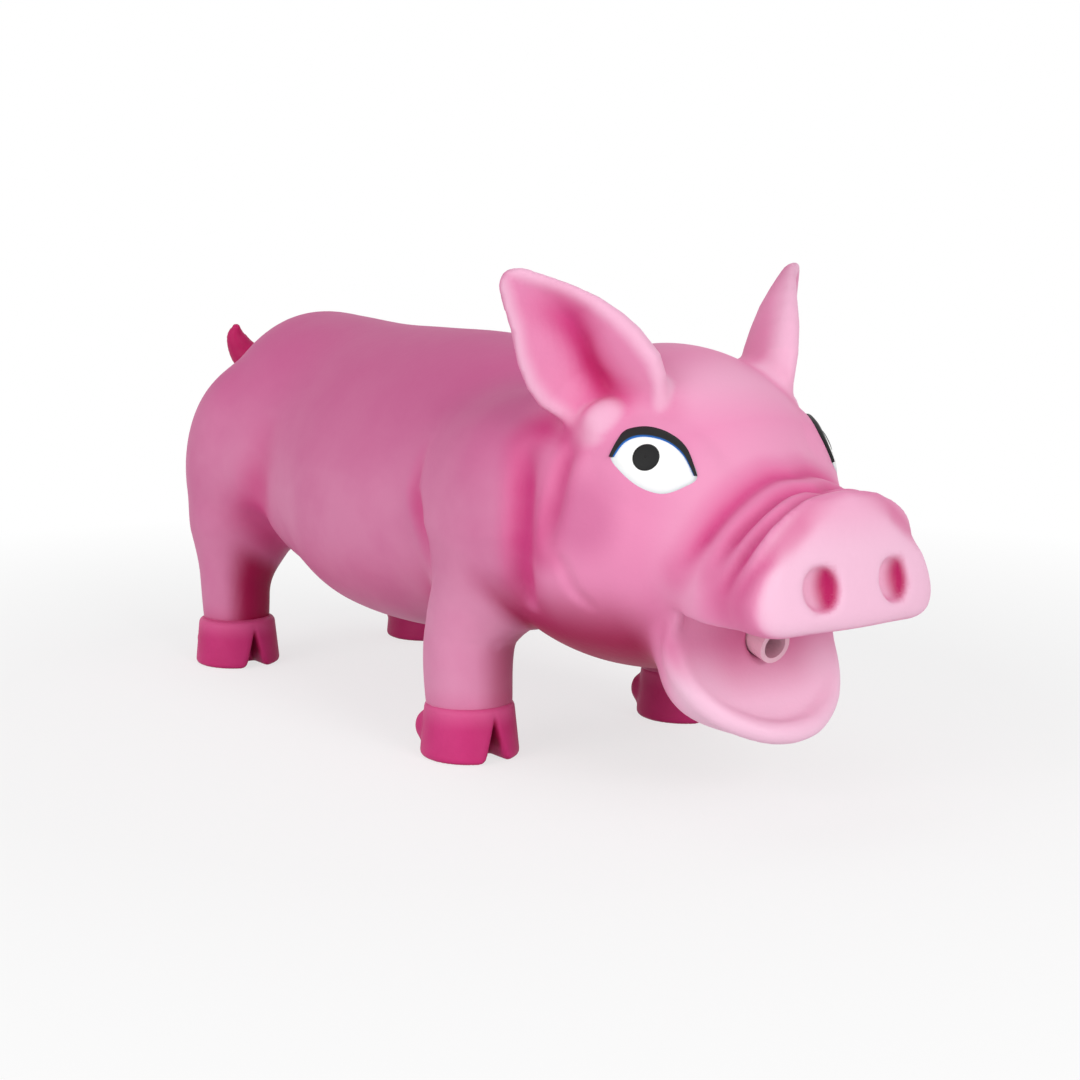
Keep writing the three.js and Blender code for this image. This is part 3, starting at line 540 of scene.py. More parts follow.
def latex_finish_group():
    """The matte latex surface under any paint: soft cloudy mottling, a fine pebble, and uneven gloss."""
    group = bpy.data.node_groups.new("latex finish", "ShaderNodeTree")
    tone, value = "NodeSocketColor", "NodeSocketFloat"
    inputs = (("Paint", tone), ("Cloud Paint", tone), ("Clouding", value))
    outputs = (("Color", tone), ("Roughness", value), ("Pebble", value))
    for way, sockets in (("INPUT", inputs), ("OUTPUT", outputs)):
        for name, kind in sockets:
            group.interface.new_socket(name, in_out=way, socket_type=kind)
    nodes, links = group.nodes, group.links
    entry = nodes.new("NodeGroupInput")
    leave = nodes.new("NodeGroupOutput")
    place = nodes.new("ShaderNodeTexCoord")
    cloud = nodes.new("ShaderNodeTexNoise")
    cloud.inputs["Scale"].default_value = 55
    cloud.inputs["Detail"].default_value = 3
    cloud.inputs["Roughness"].default_value = 0.55
    pebble = nodes.new("ShaderNodeTexNoise")
    pebble.inputs["Scale"].default_value = 900
    pebble.inputs["Detail"].default_value = 2
    for noise in (cloud, pebble):
        links.new(place.outputs["Object"], noise.inputs["Vector"])
    patch = nodes.new("ShaderNodeMapRange")
    patch.inputs["From Min"].default_value = 0.38
    patch.inputs["From Max"].default_value = 0.7
    links.new(cloud.outputs["Fac"], patch.inputs["Value"])
    amount = nodes.new("ShaderNodeMath")
    amount.operation = "MULTIPLY"
    links.new(patch.outputs["Result"], amount.inputs[0])
    links.new(entry.outputs["Clouding"], amount.inputs[1])
    mix = nodes.new("ShaderNodeMix")
    mix.data_type = "RGBA"
    links.new(amount.outputs[0], mix.inputs["Factor"])
    links.new(entry.outputs["Paint"], mix.inputs["A"])
    links.new(entry.outputs["Cloud Paint"], mix.inputs["B"])
    links.new(mix.outputs["Result"], leave.inputs["Color"])
    gloss = nodes.new("ShaderNodeMapRange")
    gloss.inputs["To Min"].default_value = 0.46
    gloss.inputs["To Max"].default_value = 0.62
    links.new(cloud.outputs["Fac"], gloss.inputs["Value"])
    links.new(gloss.outputs["Result"], leave.inputs["Roughness"])
    links.new(pebble.outputs["Fac"], leave.inputs["Pebble"])
    return group


latex_finish = latex_finish_group()


def painted_latex(name, ground, cloud, clouding, coats=()):
    """Matte painted latex: a ground colour, and coats of (layer name, colour) laid over it in turn, as paint,
    painted shade and painted highlight.
    """
    material = bpy.data.materials.new(name)
    material.use_nodes = True
    nodes, links = material.node_tree.nodes, material.node_tree.links
    surface = nodes["Principled BSDF"]
    finish = nodes.new("ShaderNodeGroup")
    finish.node_tree = latex_finish
    finish.inputs["Paint"].default_value = ground
    finish.inputs["Cloud Paint"].default_value = cloud
    finish.inputs["Clouding"].default_value = clouding
    paint = finish.outputs["Color"]
    for layer, colour in coats:
        amount = nodes.new("ShaderNodeAttribute")
        amount.attribute_name = layer
        coat = nodes.new("ShaderNodeMix")
        coat.data_type = "RGBA"
        coat.inputs["B"].default_value = colour
        links.new(amount.outputs["Fac"], coat.inputs["Factor"])
        links.new(paint, coat.inputs["A"])
        paint = coat.outputs["Result"]
    links.new(paint, surface.inputs["Base Color"])
    links.new(finish.outputs["Roughness"], surface.inputs["Roughness"])
    bump = nodes.new("ShaderNodeBump")
    bump.inputs["Strength"].default_value = 0.12
    bump.inputs["Distance"].default_value = 0.0004
    links.new(finish.outputs["Pebble"], bump.inputs["Height"])
    links.new(bump.outputs["Normal"], surface.inputs["Normal"])
    surface.inputs["Specular IOR Level"].default_value = 0.25
    return material


# Colours of the skin. Dusky pink is the cloud of the flanks and also painted shade on the body's top; pale
# pink is pale paint and painted highlight. The fold shade pink and magenta are painted shade in folds and
# hollows, with a little magenta paint deep in the nostrils. Wine is painted shade under the body, inside the
# legs and on the hooves, over the toy's darker spray, and also the darker cloud of the tail and its darker
# root.
FLANK_PINK = ink(214, 132, 170)
DUSKY_PINK = ink(194, 86, 139)
ROSE_PINK = ink(231, 138, 181)
PALE_PINK = ink(242, 200, 222)
FOLD_SHADE_PINK = ink(202, 58, 126)
MAGENTA = ink(186, 24, 96)
WINE = ink(160, 12, 74)
CREVICE_LOOK = (2.5, 5, 10)
BEHIND_EYE = (70, 29.5, 54)
EAR_FACE_WAY = (0.8, 0, 0.1)

# The skin's coats: a rose face, a dusky body with painted shade on its top, pale paint with painted
# highlight, and painted shade in deep pink in the folds, in magenta in the hollows and in wine under the
# body.
skin_paint = painted_latex("airbrushed_and_shaded_skin", FLANK_PINK, DUSKY_PINK, 0.4, (
    ("rose", ROSE_PINK), ("dusk_and_shade", DUSKY_PINK), ("pale_and_highlight", PALE_PINK), ("fold", FOLD_SHADE_PINK), ("hollow_paint_and_shade", MAGENTA),
    ("under", WINE)))
skin_points, skin_faces = wrap(skin_form, *SKIN_ROOM, SKIN_STEP)
skin = mesh_piece("pig_skin", skin_points, skin_faces, skin_paint)
skin_arrows = np.stack([soften(part, skin_faces, 2) for part in slope_of(skin_form, skin_points).T], 1)
skin_forward, skin_left, skin_up = skin_arrows.T
skin_side = np.sign(skin_points[:, 1])
half_points = mirrored(skin_points)
x, y, z = half_points.T

# Zones of paint, of painted shade and of painted highlight, each from 0 to 1: most run between two places in
# millimetres, or between two slopes.
body = ramp(x, 66, 40)
face = ramp(x, 44, 66)
rear_half = ramp(x, 0, -50)
topside = ramp(skin_up, 0.05, 0.9)
on_front, on_rear = [ramp(np.abs(tube_form(half_points, *limb)), 3, 0.6) * ramp(z, 46, 32)
                     for limb in (FRONT_LIMB, REAR_LIMB)]
on_leg = np.maximum(on_front, on_rear)
above_hoof = on_leg * ramp(z, 16, 11)
# Painted shade, over the toy's darker spray, on the insides of the legs and under the belly and chest.
skin_inward = 0.5 * skin_forward - 0.85 * skin_left * skin_side
inner_leg_shade = (0.6 + 0.4 * rear_half) * on_leg * ramp(skin_inward + 0.4 * rear_half, 0.05, 0.8)
belly_shade = ramp(-skin_up, 0, 0.5) * ramp(z, 44, 28) * ramp(x, 84, 72)
belly_shade = belly_shade * (0.12 + 0.88 * ramp(x, 14, 42)) * (1 - on_front)
# Painted shade in crevices: how shut in each place is, from the form's distance a few millimetres out along
# its slope, deepest where other parts of the skin come close.
closeness = [1 - skin_form(skin_points + skin_arrows * d) / d for d in CREVICE_LOOK]
shut_in = soften(np.clip(np.mean(closeness, axis=0), 0, 1), skin_faces)
crevice_shade = ramp(shut_in, 0.1, 0.6) * ramp(x, 96, 84) * ramp(z, 82, 66) * (1 - 0.7 * on_leg)
# Painted shade along the thigh, shoulder, neck, cheek and jowl folds.
thigh_shade = crease(half_points, THIGH_FOLD, 6, 1, *THIGH_PRESS[2:])
shoulder_shade = crease(half_points, SHOULDER_FOLD, 2.2, 1, *SHOULDER_PRESS[2:])
neck_crease_shade = ramp(neck_creases(half_points), 0.4, 2.4)
neck_shade = ramp(follow(half_points, NECK_FOLD)[0], 8, 2)
cheek_shade = ramp(follow(half_points, CHEEK_FOLD)[0], 6, 1)
# Painted shade on the cheek behind each eye, below the ear.
behind_eye_shade = ramp(np.linalg.norm(half_points - BEHIND_EYE, axis=1), 11, 3)

ear_places = on_ear(half_points)
from_tip, to_front = ear_places.T[:2]
# On the ears: painted highlight on the rims and the lower lobe, and painted shade in the cup and down the
# slit.
on_ear_skin = ramp(np.abs(ear_form(half_points)), 2.5, 0.5) * ramp(skin_arrows @ EAR_FACE_WAY, -0.2, 0.3)
off_lobe = ramp(ellipsoid(ear_places, *LOBE), 0.4, 1.8)
ear_lobe_highlight = (1 - off_lobe) * on_ear_skin
ear_edges = [np.interp(from_tip, EAR_STATIONS, row) for row in (EAR_FRONT, EAR_REAR, EAR_SLIT)]
ear_front, ear_rear, ear_slit = ear_edges
ear_rim_highlight = on_ear_skin * ramp(np.minimum(ear_front - to_front, ear_rear + to_front), 4.5, 1)
slit_gap = np.maximum(1.1 * (to_front - ear_slit), ear_slit - to_front)
cupped = soften(on_ear_skin * off_lobe * ramp(slit_gap, 6.5, 1) * ramp(from_tip, 36, 33), skin_faces)
ear_cup_shade = cupped * ramp(from_tip, 4, 16)
ear_slit_shade = cupped * ramp(from_tip, 12, 24) * ramp(from_tip, 34, 29) * ramp(slit_gap, 4, 0.5)

disc_places = on_disc(half_points)
disc_out, disc_side, disc_up = disc_places.T
# The nose disc is pale paint, with painted highlight where it faces forward, less towards its top.
forward_highlight = 0.25 + 0.75 * ramp(skin_forward, 0.3, 0.8)
disc_face = ramp(disc_out, -2, 4) * forward_highlight * (0.8 - 0.35 * ramp(disc_up, 2, 13))
# Painted shade in each wrinkle's valley, on the snout behind the disc, and on the snout's lower sides, which
# face away from the front.
wrinkle_shade = np.max([press / depth for press, (route, depth, start)
                       in zip(wrinkle_press(half_points), WRINKLES)], axis=0)
wrinkled = np.max([ramp(follow(half_points, route)[0], 6, 1) for route, *press in WRINKLES], axis=0)
behind_disc_shade = wrinkled * ramp(disc_out, 2, -3)
snout_side_shade = ramp(disc_out, -14, -6) * ramp(skin_forward, 0.6, 0.2) * ramp(disc_up, 4, -2)
cheek_front = ramp(x, 80, 90) * ramp(x, 97, 92) * (1 - wrinkled)
# Painted highlight on the forehead.
crown_highlight = ramp(x, 66, 80) * ramp(z, 66, 82) * (1 - on_ear_skin)
# Magenta deep in each nostril, and painted shade on the wall of each nostril towards the pig's left.
nostril_depth = DISC_HALF - DISC_CROWN * disc_side ** 2 - disc_out
in_nostril = ramp(ellipsoid(disc_places, *NOSTRIL), 0.8, 0.2) * ramp(nostril_depth, 0.2, 1)
in_nostril = soften(in_nostril, skin_faces, 1)
nostril_shaded_side = ramp(skin_points[:, 1] - NOSTRIL[0][1] * skin_side, -0.6, 2.6)
# In the mouth: pale paint with painted highlight on the front of the floor, and painted shade deep at the
# back.
in_mouth = soften(ramp(mouth_form(half_points), 1.5, 0), skin_faces)
mouth_floor = in_mouth * ramp(x, 86, 92)
throat_shade = in_mouth * ramp(x, 92, 86.5) * ramp(y, 16, 6)
lower_lip = ramp(z, 34, 22) * ramp(x, 78, 88)


def layered(*sprays):
    """Sprays of (strength, zone) laid over one another."""
    return sum(strength * zone for strength, zone in sprays)


def heaviest(*sprays):
    """The strongest of several sprays of (strength, zone)."""
    return np.max([strength * zone for strength, zone in sprays], axis=0)


brush(skin, "rose", face)
# Dusky tone over the body, with painted shade on its top and on the cheek behind each eye.
brush(skin, "dusk_and_shade", layered((0.15, body * (1 - on_front)), (0.8, body * topside), (0.5, behind_eye_shade)))
# Pale paint on the nose disc, jaw, mouth floor, cheeks and front legs, with painted highlight on the
# forehead, ear rims and lobes, the forward face of the disc and the front of the mouth floor.
brush(skin, "pale_and_highlight", heaviest(
    (1, disc_face), (0.9, lower_lip), (0.45, crown_highlight), (0.6, ear_rim_highlight), (0.55, ear_lobe_highlight), (0.38, mouth_floor),
    (0.12, on_front), (0.2, cheek_front)))
# Painted shade in deep pink along the crevices, wrinkles, snout sides and the neck, cheek, thigh and shoulder
# folds, in the ear cups and at the back of the mouth; the coat also darkens the legs a little just above the
# hooves.
outer_fold_shade = layered(
    (0.75, crevice_shade), (0.6, wrinkle_shade), (0.25, behind_disc_shade), (0.3, snout_side_shade), (0.5, neck_crease_shade),
    (0.55, neck_shade), (0.45, cheek_shade), (0.6, thigh_shade), (0.75, shoulder_shade))
brush(skin, "fold", layered(
    (1, (1 - in_mouth) * outer_fold_shade), (0.45, throat_shade), (1, ear_cup_shade), (0.2, above_hoof)))
# Magenta deep in the nostrils, and painted shade on one wall of each nostril and down the ear slits.
brush(skin, "hollow_paint_and_shade", layered((0.12, in_nostril), (0.88, in_nostril * nostril_shaded_side), (1, ear_slit_shade)))
# Wine under the belly and chest and on the insides of the legs: painted shade over the toy's darker spray.
brush(skin, "under", heaviest((1, belly_shade), (1, inner_leg_shade)))
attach(skin, "toy")
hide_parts("torso", "head", "snout", "lower_jaw", "ear_right", "ear_left", "front_leg_right",
            "front_leg_left", "rear_leg_right", "rear_leg_left")


# Hooves: solid ends of the same moulding, dipped in magenta paint up to the line where the leg begins.
# Each is split in front into two toes that spread towards the floor, with two small dewclaws behind.
HOOF_RADIUS = 10.2
HOOF_TAPER = 0.1
HOOF_LENGTHENING = 0.96
HOOF_EDGE = 1.3
CLEFT_TOP = 7.8
CLEFT_SPREAD = 0.3
CLEFT_ROOT = 3.5
CLEFT_CORNER = 1
CLEFT_EDGE = 1.5
DEWCLAW = np.array([2.4, 2.4, 3.2])
DEWCLAW_AT = np.array([-7.4, 5.6, 5.2])
DEWCLAW_FILLET = 1.2
HOOVES = (("front", 30.3, 28.2, 1), ("rear", -74.6, 27.4, 0.6))
HOOF_ROOM = 13
HOOF_MARGIN = 1
HOOF_STEP = 0.5
FOLD_LOOK = 2


def hoof_form(p, place, claw_size):
    q = p - np.array([*place, 0])
    radius = np.sqrt(HOOF_LENGTHENING * q[:, 0] ** 2 + q[:, 1] ** 2) - HOOF_RADIUS + HOOF_TAPER * q[:, 2]
    block = meet(radius, np.maximum(q[:, 2] - HOOF_HEIGHT, -q[:, 2]), HOOF_EDGE)
    gap = CLEFT_SPREAD * (CLEFT_TOP - q[:, 2])
    toes = carve(block, meet(np.abs(q[:, 1]) - gap, CLEFT_ROOT - q[:, 0], CLEFT_CORNER), CLEFT_EDGE)
    claws = ellipsoid(mirrored(q), DEWCLAW_AT, DEWCLAW * claw_size)
    return join(toes, claws, DEWCLAW_FILLET)


# The hoof's fold and under coats are painted shade in wine: in the cleft and round the dewclaws, and on the
# inner side of each hoof.
hoof_paint = painted_latex("hoof_magenta", ink(202, 52, 122), ink(184, 34, 102), 0.8, (
    ("coronet", ink(222, 104, 156)), ("fold", WINE), ("under", WINE)))
for end, hoof_x, hoof_y, claw_size in HOOVES:
    for side, sign in (("right", -1), ("left", 1)):
        hoof_at = np.array([hoof_x, sign * hoof_y])

        def shape(p):
            return hoof_form(p, hoof_at, claw_size)

        low = (*(hoof_at - HOOF_ROOM), -HOOF_MARGIN)
        high = (*(hoof_at + HOOF_ROOM), HOOF_HEIGHT + HOOF_MARGIN)
        hoof_points, hoof_faces = wrap(shape, low, high, HOOF_STEP)
        hoof = mesh_piece(f"hoof_{end}_{side}", hoof_points, hoof_faces, hoof_paint)
        arrows = slope_of(shape, hoof_points)
        tight = np.clip(1 - shape(hoof_points + arrows * FOLD_LOOK) / FOLD_LOOK, 0, 1)
        brush(hoof, "coronet", 0.55 * ramp(hoof_points[:, 2], 6.5, HOOF_HEIGHT))
        # Painted shade where the hoof shuts in below its top, and on its inner side.
        brush(hoof, "fold", ramp(tight, 0.1, 0.7) * ramp(hoof_points[:, 2], HOOF_HEIGHT, 8))
        brush(hoof, "under", 0.4 * ramp(-sign * arrows[:, 1], 0.2, 1))
        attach(hoof, "toy")
        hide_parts(f"{end}_hoof_{side}")


# Tail: a short pointed curl of the same moulding behind the rump, bent up and to the right.
# It is painted a dark magenta by hand, and its colour darkens towards the root.
TAIL = [(-92, 0, 65), (-101, 0, 67), (-107, -2.5, 69.5), (-110, -5.5, 73), (-110.5, -7.5, 77),
        (-109.5, -8, 79.6)]
TAIL_RADII = (6.2, 5.4, 4.6, 3.8, 2.6, 1.1)
TAIL_ROOM = ((-118, -16, 55), (-84, 10, 84))


def tail_form(p):
    return tube_form(p, TAIL, TAIL_RADII)


tail_paint = painted_latex("tail_magenta", ink(184, 16, 92), WINE, 0.6, (("fold", WINE),))
tail_points, tail_faces = wrap(tail_form, *TAIL_ROOM, HOOF_STEP)
tail = mesh_piece("tail_curl", tail_points, tail_faces, tail_paint)
# Wine darkens the tail towards its root, where it meets the rump.
brush(tail, "fold", ramp(tail_points[:, 0], -108, -98))
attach(tail, "toy")
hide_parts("tail")


# Eyes: painted on the mounds by hand, each coat thick enough to stand proud of the skin.
# White almond first, then the round black pupil, then the black lash over the upper edge, with a thin
# blue line under it.
WHITE_EDGE = [(-7, -1.2), (-6.2, 2.4), (-2.2, 5), (2.3, 5.1), (6.4, 3.4), (10, -0.4), (8.4, -3.1), (5, -5.4),
              (0.4, -5.4), (-4.3, -3.5)]
LASH_OUTER = [(-7.3, -1.5), (-6.9, 1.6), (-6, 4.3), (-2.3, 6), (2.2, 5.9), (6.4, 4), (10, -0.4)]
LASH_INNER = [(-6.1, -1.4), (-4.9, 1.7), (-2.1, 3.5), (2.4, 3.8), (6.2, 2.4), (9.4, -0.6)]
PUPIL_RADIUS = 3
WHITE_COAT = 0.3
BLACK_COAT = 0.5
COAT_ROOT = 0.8
COAT_ROUNDING = 6
LASH_LIFT = 0.05
MIDDLE_RING = 0.01
LAY_FROM = 6
LAY_STEPS = 12
EYE_SPOKES = 72
EYE_RINGS = 10


def on_skin(flat, height):
    """Flat eye places laid on the skin along the eye's own direction, lifted by height."""
    p = EYE_CENTRE + flat[:, :1] * EYE_ALONG + flat[:, 1:] * EYE_UP + LAY_FROM * EYE_OUT
    for _ in range(LAY_STEPS):
        p = p - skin_form(p)[:, None] * EYE_OUT
    return p + np.reshape(height, (-1, 1)) * EYE_OUT


def coat_piece(name, rows, heights, wrap_round, sign, material):
    """A closed coat of paint from rows of flat places: a lifted face, and one sunk in the skin under it."""
    count = len(rows[0])
    flat = np.concatenate(rows)
    top = on_skin(flat, np.repeat(heights, count))
    points = np.concatenate([top, on_skin(flat, -COAT_ROOT)])
    faces = []
    under = len(flat)
    span = count if wrap_round else count - 1
    for r in range(len(rows) - 1):
        for c in range(span):
            a, b = r * count + c, r * count + (c + 1) % count
            quad = [a, b, b + count, a + count]
            faces += [quad, [under + i for i in reversed(quad)]]
    rims = [(r * count + c, r * count + (c + 1) % count, way)
            for r, way in ((0, -1), (len(rows) - 1, 1)) for c in range(span)]
    if not wrap_round:
        rims += [(r * count + c, (r + 1) * count + c, way)
                 for r in range(len(rows) - 1) for c, way in ((0, 1), (count - 1, -1))]
    for a, b, way in rims:
        quad = [a, b, under + b, under + a]
        faces.append(quad if way < 0 else quad[::-1])
    faces = np.array(faces)
    if sign > 0:
        faces = faces[:, ::-1]
    return mesh_piece(name, points * [1, sign, 1], faces, material)


def disc_rows(edge, rings):
    """Rings of places from a small ring at the middle of an outline out to the outline itself."""
    middle = edge.mean(0)
    return [middle + (edge - middle) * share for share in np.linspace(MIDDLE_RING, 1, rings)]


def eye_paint(name, ground, cloud, coats=()):
    material = painted_latex(name, ground, cloud, 0.5, coats)
    material.node_tree.nodes["Principled BSDF"].inputs["Specular IOR Level"].default_value = 0.2
    return material


white_paint = eye_paint("eye_white_paint", ink(252, 252, 250), ink(240, 242, 242), (
    ("edge_shade", ink(216, 220, 226)),))
black_paint = eye_paint("eye_black_paint", ink(24, 24, 24), ink(40, 40, 42))
lash_paint = eye_paint("lash_paint", ink(26, 26, 27), ink(46, 45, 47), (("liner", ink(28, 104, 190)),))
bands = np.linspace(0, 1, EYE_RINGS)
band_at_vertex = np.tile(np.repeat(bands, EYE_SPOKES), 2)
round_edge = 1 - bands ** COAT_ROUNDING
white_rows = disc_rows(smooth_line(WHITE_EDGE, EYE_SPOKES, closed=True)[::-1], EYE_RINGS)
turn = np.linspace(0, 2 * np.pi, EYE_SPOKES, endpoint=False)
pupil_rows = disc_rows(PUPIL_RADIUS * np.stack([np.cos(turn), np.sin(turn)], 1), EYE_RINGS)
lash_inner, lash_outer = [smooth_line(line, EYE_SPOKES) for line in (LASH_INNER, LASH_OUTER)]
lash_rows = [lash_inner + (lash_outer - lash_inner) * share for share in bands]
lash_heights = BLACK_COAT * (1 - np.abs(2 * bands - 1) ** COAT_ROUNDING) + LASH_LIFT
for side, sign in (("right", -1), ("left", 1)):
    white = coat_piece(f"{side}_eye_white", white_rows, WHITE_COAT * round_edge, True, sign, white_paint)
    pupil = coat_piece(f"{side}_pupil", pupil_rows, BLACK_COAT * round_edge, True, sign, black_paint)
    lash = coat_piece(f"{side}_lash", lash_rows, lash_heights, False, sign, lash_paint)
    brush(white, "edge_shade", 0.7 * ramp(band_at_vertex, 0.8, 1))
    brush(lash, "liner", ramp(band_at_vertex, 0.22, 0.1))
    for piece, node, slot in ((white, "eye_white", "eye_white"), (pupil, "pupil", "eye_black"),
                              (lash, "eye_lash", "eye_black")):
        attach(piece, "toy")
        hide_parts(f"{node}_{side}")


# Filling: loose polyester fibre, pushed in until the skin is full, which brings the toy back after a squeeze.
# It lies lumpy against the inside of the wall and leaves room for the voice unit behind the mouth.
WALL = 2.2
FILL_GAP = 0.9
FILL_LUMP = 0.7
LUMP_SIZES = (4.7, 4.1, 5.3)
LUMP_SHIFTS = (0, 1, 2)
FILL_STEP = 3.2
VOICE_ROOM = 8.5
VOICE_ROOM_EDGE = 1
VOICE_ROUTE = [(93.5, 0, 29.1), (49.5, 0, 40.9)]


def filling_form(p):
    q = mirrored(p)
    body = join(torso_form(q), head_form(q), NECK_FILLET)
    lumps = np.prod(np.sin(p / LUMP_SIZES + LUMP_SHIFTS), axis=1)
    voice_room = follow(p, VOICE_ROUTE)[0] - VOICE_ROOM
    return carve(body + WALL + FILL_GAP + FILL_LUMP * (1 + lumps), voice_room, VOICE_ROOM_EDGE)


fibre = bpy.data.materials.new("loose_fibre")
fibre.use_nodes = True
fibre_nodes, fibre_links = fibre.node_tree.nodes, fibre.node_tree.links
strands = fibre_nodes.new("ShaderNodeTexNoise")
strands.inputs["Scale"].default_value = 420
strands.inputs["Detail"].default_value = 6
strands.inputs["Distortion"].default_value = 2.5
tint = fibre_nodes.new("ShaderNodeMix")
tint.data_type = "RGBA"
tint.inputs["A"].default_value = ink(226, 224, 220)
tint.inputs["B"].default_value = ink(250, 249, 246)
fluff = fibre_nodes.new("ShaderNodeBump")
fluff.inputs["Strength"].default_value = 0.7
fluff.inputs["Distance"].default_value = 0.001
fibre_surface = fibre_nodes["Principled BSDF"]
fibre_surface.inputs["Roughness"].default_value = 0.95
fibre_surface.inputs["Sheen Weight"].default_value = 0.3
fibre_links.new(strands.outputs["Fac"], tint.inputs["Factor"])
fibre_links.new(strands.outputs["Fac"], fluff.inputs["Height"])
fibre_links.new(tint.outputs["Result"], fibre_surface.inputs["Base Color"])
fibre_links.new(fluff.outputs["Normal"], fibre_surface.inputs["Normal"])
filling_points, filling_faces = wrap(filling_form, *SKIN_ROOM, FILL_STEP)
filling = mesh_piece("fibre_batting", filling_points, filling_faces, fibre)
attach(filling, "toy")
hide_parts("fibre_filling")


# Voice unit: a moulded plastic barrel pushed into the mouth hole, holding trough, reed, wedge and cap.
# Only the rim of its tube shows under the upper lip. The parts are rigid, so their solids stay as they are.
def moulded_plastic(name, ground, cloud, rough):
    material = bpy.data.materials.new(name)
    material.use_nodes = True
    nodes, links = material.node_tree.nodes, material.node_tree.links
    finish = nodes.new("ShaderNodeGroup")
    finish.node_tree = latex_finish
    finish.inputs["Paint"].default_value = ground
    finish.inputs["Cloud Paint"].default_value = cloud
    finish.inputs["Clouding"].default_value = 0.5
    grain = nodes.new("ShaderNodeBump")
    grain.inputs["Strength"].default_value = 0.1
    grain.inputs["Distance"].default_value = 0.0002
    surface = nodes["Principled BSDF"]
    surface.inputs["Roughness"].default_value = rough
    links.new(finish.outputs["Color"], surface.inputs["Base Color"])
    links.new(finish.outputs["Pebble"], grain.inputs["Height"])
    links.new(grain.outputs["Normal"], surface.inputs["Normal"])
    return material


tube_plastic = moulded_plastic("voice_tube_plastic", ink(232, 190, 204), ink(214, 166, 182), 0.4)
reed_film = moulded_plastic("reed_film", ink(216, 200, 160), ink(200, 182, 138), 0.2)
for node in ("voice_barrel", "reed_trough", "reed_wedge", "guard_cap", "reed"):
    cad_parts[node].data.materials.clear()
    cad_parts[node].data.materials.append(reed_film if node == "reed" else tube_plastic)


# Studio: a pale floor that runs out to white, and soft light from above and from the camera's right.
# The camera stands where the photograph was found to have been taken from.
CAMERA_AT = Vector((0.36229, -0.24732, 0.1094))
CAMERA_TURN = np.radians(54.5)
CAMERA_RISE = np.radians(9.31)
FOCAL_PIXELS = 2000
IMAGE_PIXELS = 1080
SENSOR = 36
FLOOR_HALF = 3.0
SHADOW_SHARE = 0.3
SHADOW_REACH = (0.12, 0.3)


def seen_by(nodes, links):
    """One for rays that show a surface, straight or in a reflection, and zero for rays that light."""
    ray = nodes.new("ShaderNodeLightPath")
    shown = ray.outputs["Is Camera Ray"]
    for kind in ("Is Glossy Ray", "Is Transmission Ray"):
        either = nodes.new("ShaderNodeMath")
        either.operation = "MAXIMUM"
        links.new(shown, either.inputs[0])
        links.new(ray.outputs[kind], either.inputs[1])
        shown = either.outputs[0]
    return shown


floor_corners = [(FLOOR_HALF * a, FLOOR_HALF * b, 0) for a, b in ((-1, -1), (1, -1), (1, 1), (-1, 1))]
floor_mesh = bpy.data.meshes.new("studio_floor")
floor_mesh.from_pydata(floor_corners, [], [(0, 1, 2, 3)])
floor = bpy.data.objects.new("studio_floor", floor_mesh)
bpy.context.scene.collection.objects.link(floor)
floor_paper = bpy.data.materials.new("white_paper")
floor_paper.use_nodes = True
paper_nodes, paper_links = floor_paper.node_tree.nodes, floor_paper.node_tree.links
paper_nodes["Principled BSDF"].inputs["Base Color"].default_value = (0.86, 0.86, 0.86, 1)
paper_nodes["Principled BSDF"].inputs["Roughness"].default_value = 0.9
glow = paper_nodes.new("ShaderNodeEmission")
seen = paper_nodes.new("ShaderNodeMath")
seen.operation = "MULTIPLY"
reach = paper_nodes.new("ShaderNodeVectorMath")
reach.operation = "LENGTH"
paper_place = paper_nodes.new("ShaderNodeTexCoord")
fade = paper_nodes.new("ShaderNodeMapRange")
fade.inputs["From Min"].default_value = SHADOW_REACH[0]
fade.inputs["From Max"].default_value = SHADOW_REACH[1]
fade.inputs["To Min"].default_value = 1 - SHADOW_SHARE
fade.inputs["To Max"].default_value = 1
paper_links.new(paper_place.outputs["Object"], reach.inputs[0])
paper_links.new(reach.outputs["Value"], fade.inputs["Value"])
paper_links.new(fade.outputs["Result"], seen.inputs[1])
paper_mix = paper_nodes.new("ShaderNodeMixShader")
paper_links.new(seen_by(paper_nodes, paper_links), seen.inputs[0])
paper_links.new(seen.outputs[0], paper_mix.inputs["Fac"])
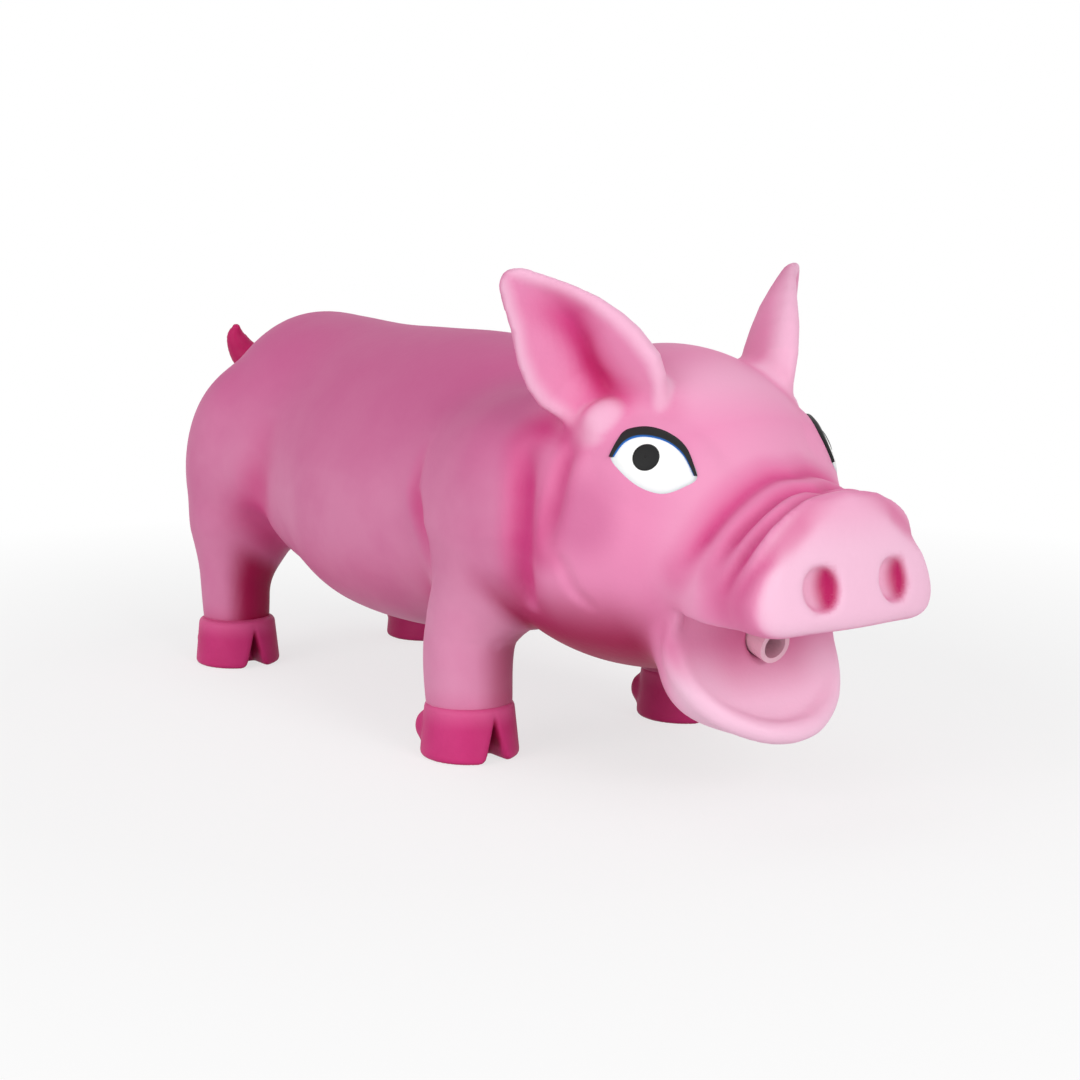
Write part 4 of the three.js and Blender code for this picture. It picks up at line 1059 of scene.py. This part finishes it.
paper_links.new(paper_nodes["Principled BSDF"].outputs[0], paper_mix.inputs[1])
paper_links.new(glow.outputs[0], paper_mix.inputs[2])
paper_links.new(paper_mix.outputs[0], paper_nodes["Material Output"].inputs["Surface"])
floor.data.materials.append(floor_paper)

back = Vector((np.sin(CAMERA_TURN) * np.cos(CAMERA_RISE), -np.cos(CAMERA_TURN) * np.cos(CAMERA_RISE),
               np.sin(CAMERA_RISE)))
camera = bpy.data.objects.new("camera", bpy.data.cameras.new("camera"))
bpy.context.scene.collection.objects.link(camera)
camera.location = CAMERA_AT
camera.rotation_mode = "QUATERNION"
camera.rotation_quaternion = (-back).to_track_quat("-Z", "Y")
camera.data.sensor_width = SENSOR
camera.data.lens = SENSOR * FOCAL_PIXELS / IMAGE_PIXELS
camera.data.clip_start = 0.01
bpy.context.scene.camera = camera

LAMPS = (("key_softbox", (0.95, -0.02, 0.42), 0.5, 3.9), ("fill_softbox", (0.15, -1.0, 0.42), 0.9, 4.2),
         ("top_softbox", (-0.2, 0.0, 1.3), 0.8, 1.3))
LAMP_AIM = Vector((0, 0, 0.05))
for name, place, size, power in LAMPS:
    lamp = bpy.data.objects.new(name, bpy.data.lights.new(name, "AREA"))
    bpy.context.scene.collection.objects.link(lamp)
    lamp.data.shape = "DISK"
    lamp.data.size = size
    lamp.data.energy = power
    lamp.location = place
    lamp.rotation_mode = "QUATERNION"
    lamp.rotation_quaternion = (LAMP_AIM - lamp.location).to_track_quat("-Z", "Y")

world = bpy.data.worlds.new("studio")
bpy.context.scene.world = world
world.use_nodes = True
sky_nodes, sky_links = world.node_tree.nodes, world.node_tree.links
sky_nodes["Background"].inputs["Color"].default_value = (1, 1, 1, 1)
strength = sky_nodes.new("ShaderNodeMapRange")
strength.inputs["To Min"].default_value = 0.46
strength.inputs["To Max"].default_value = 1.0
sky_links.new(seen_by(sky_nodes, sky_links), strength.inputs["Value"])
sky_links.new(strength.outputs["Result"], sky_nodes["Background"].inputs["Strength"])
bpy.context.scene.view_settings.view_transform = "Standard"
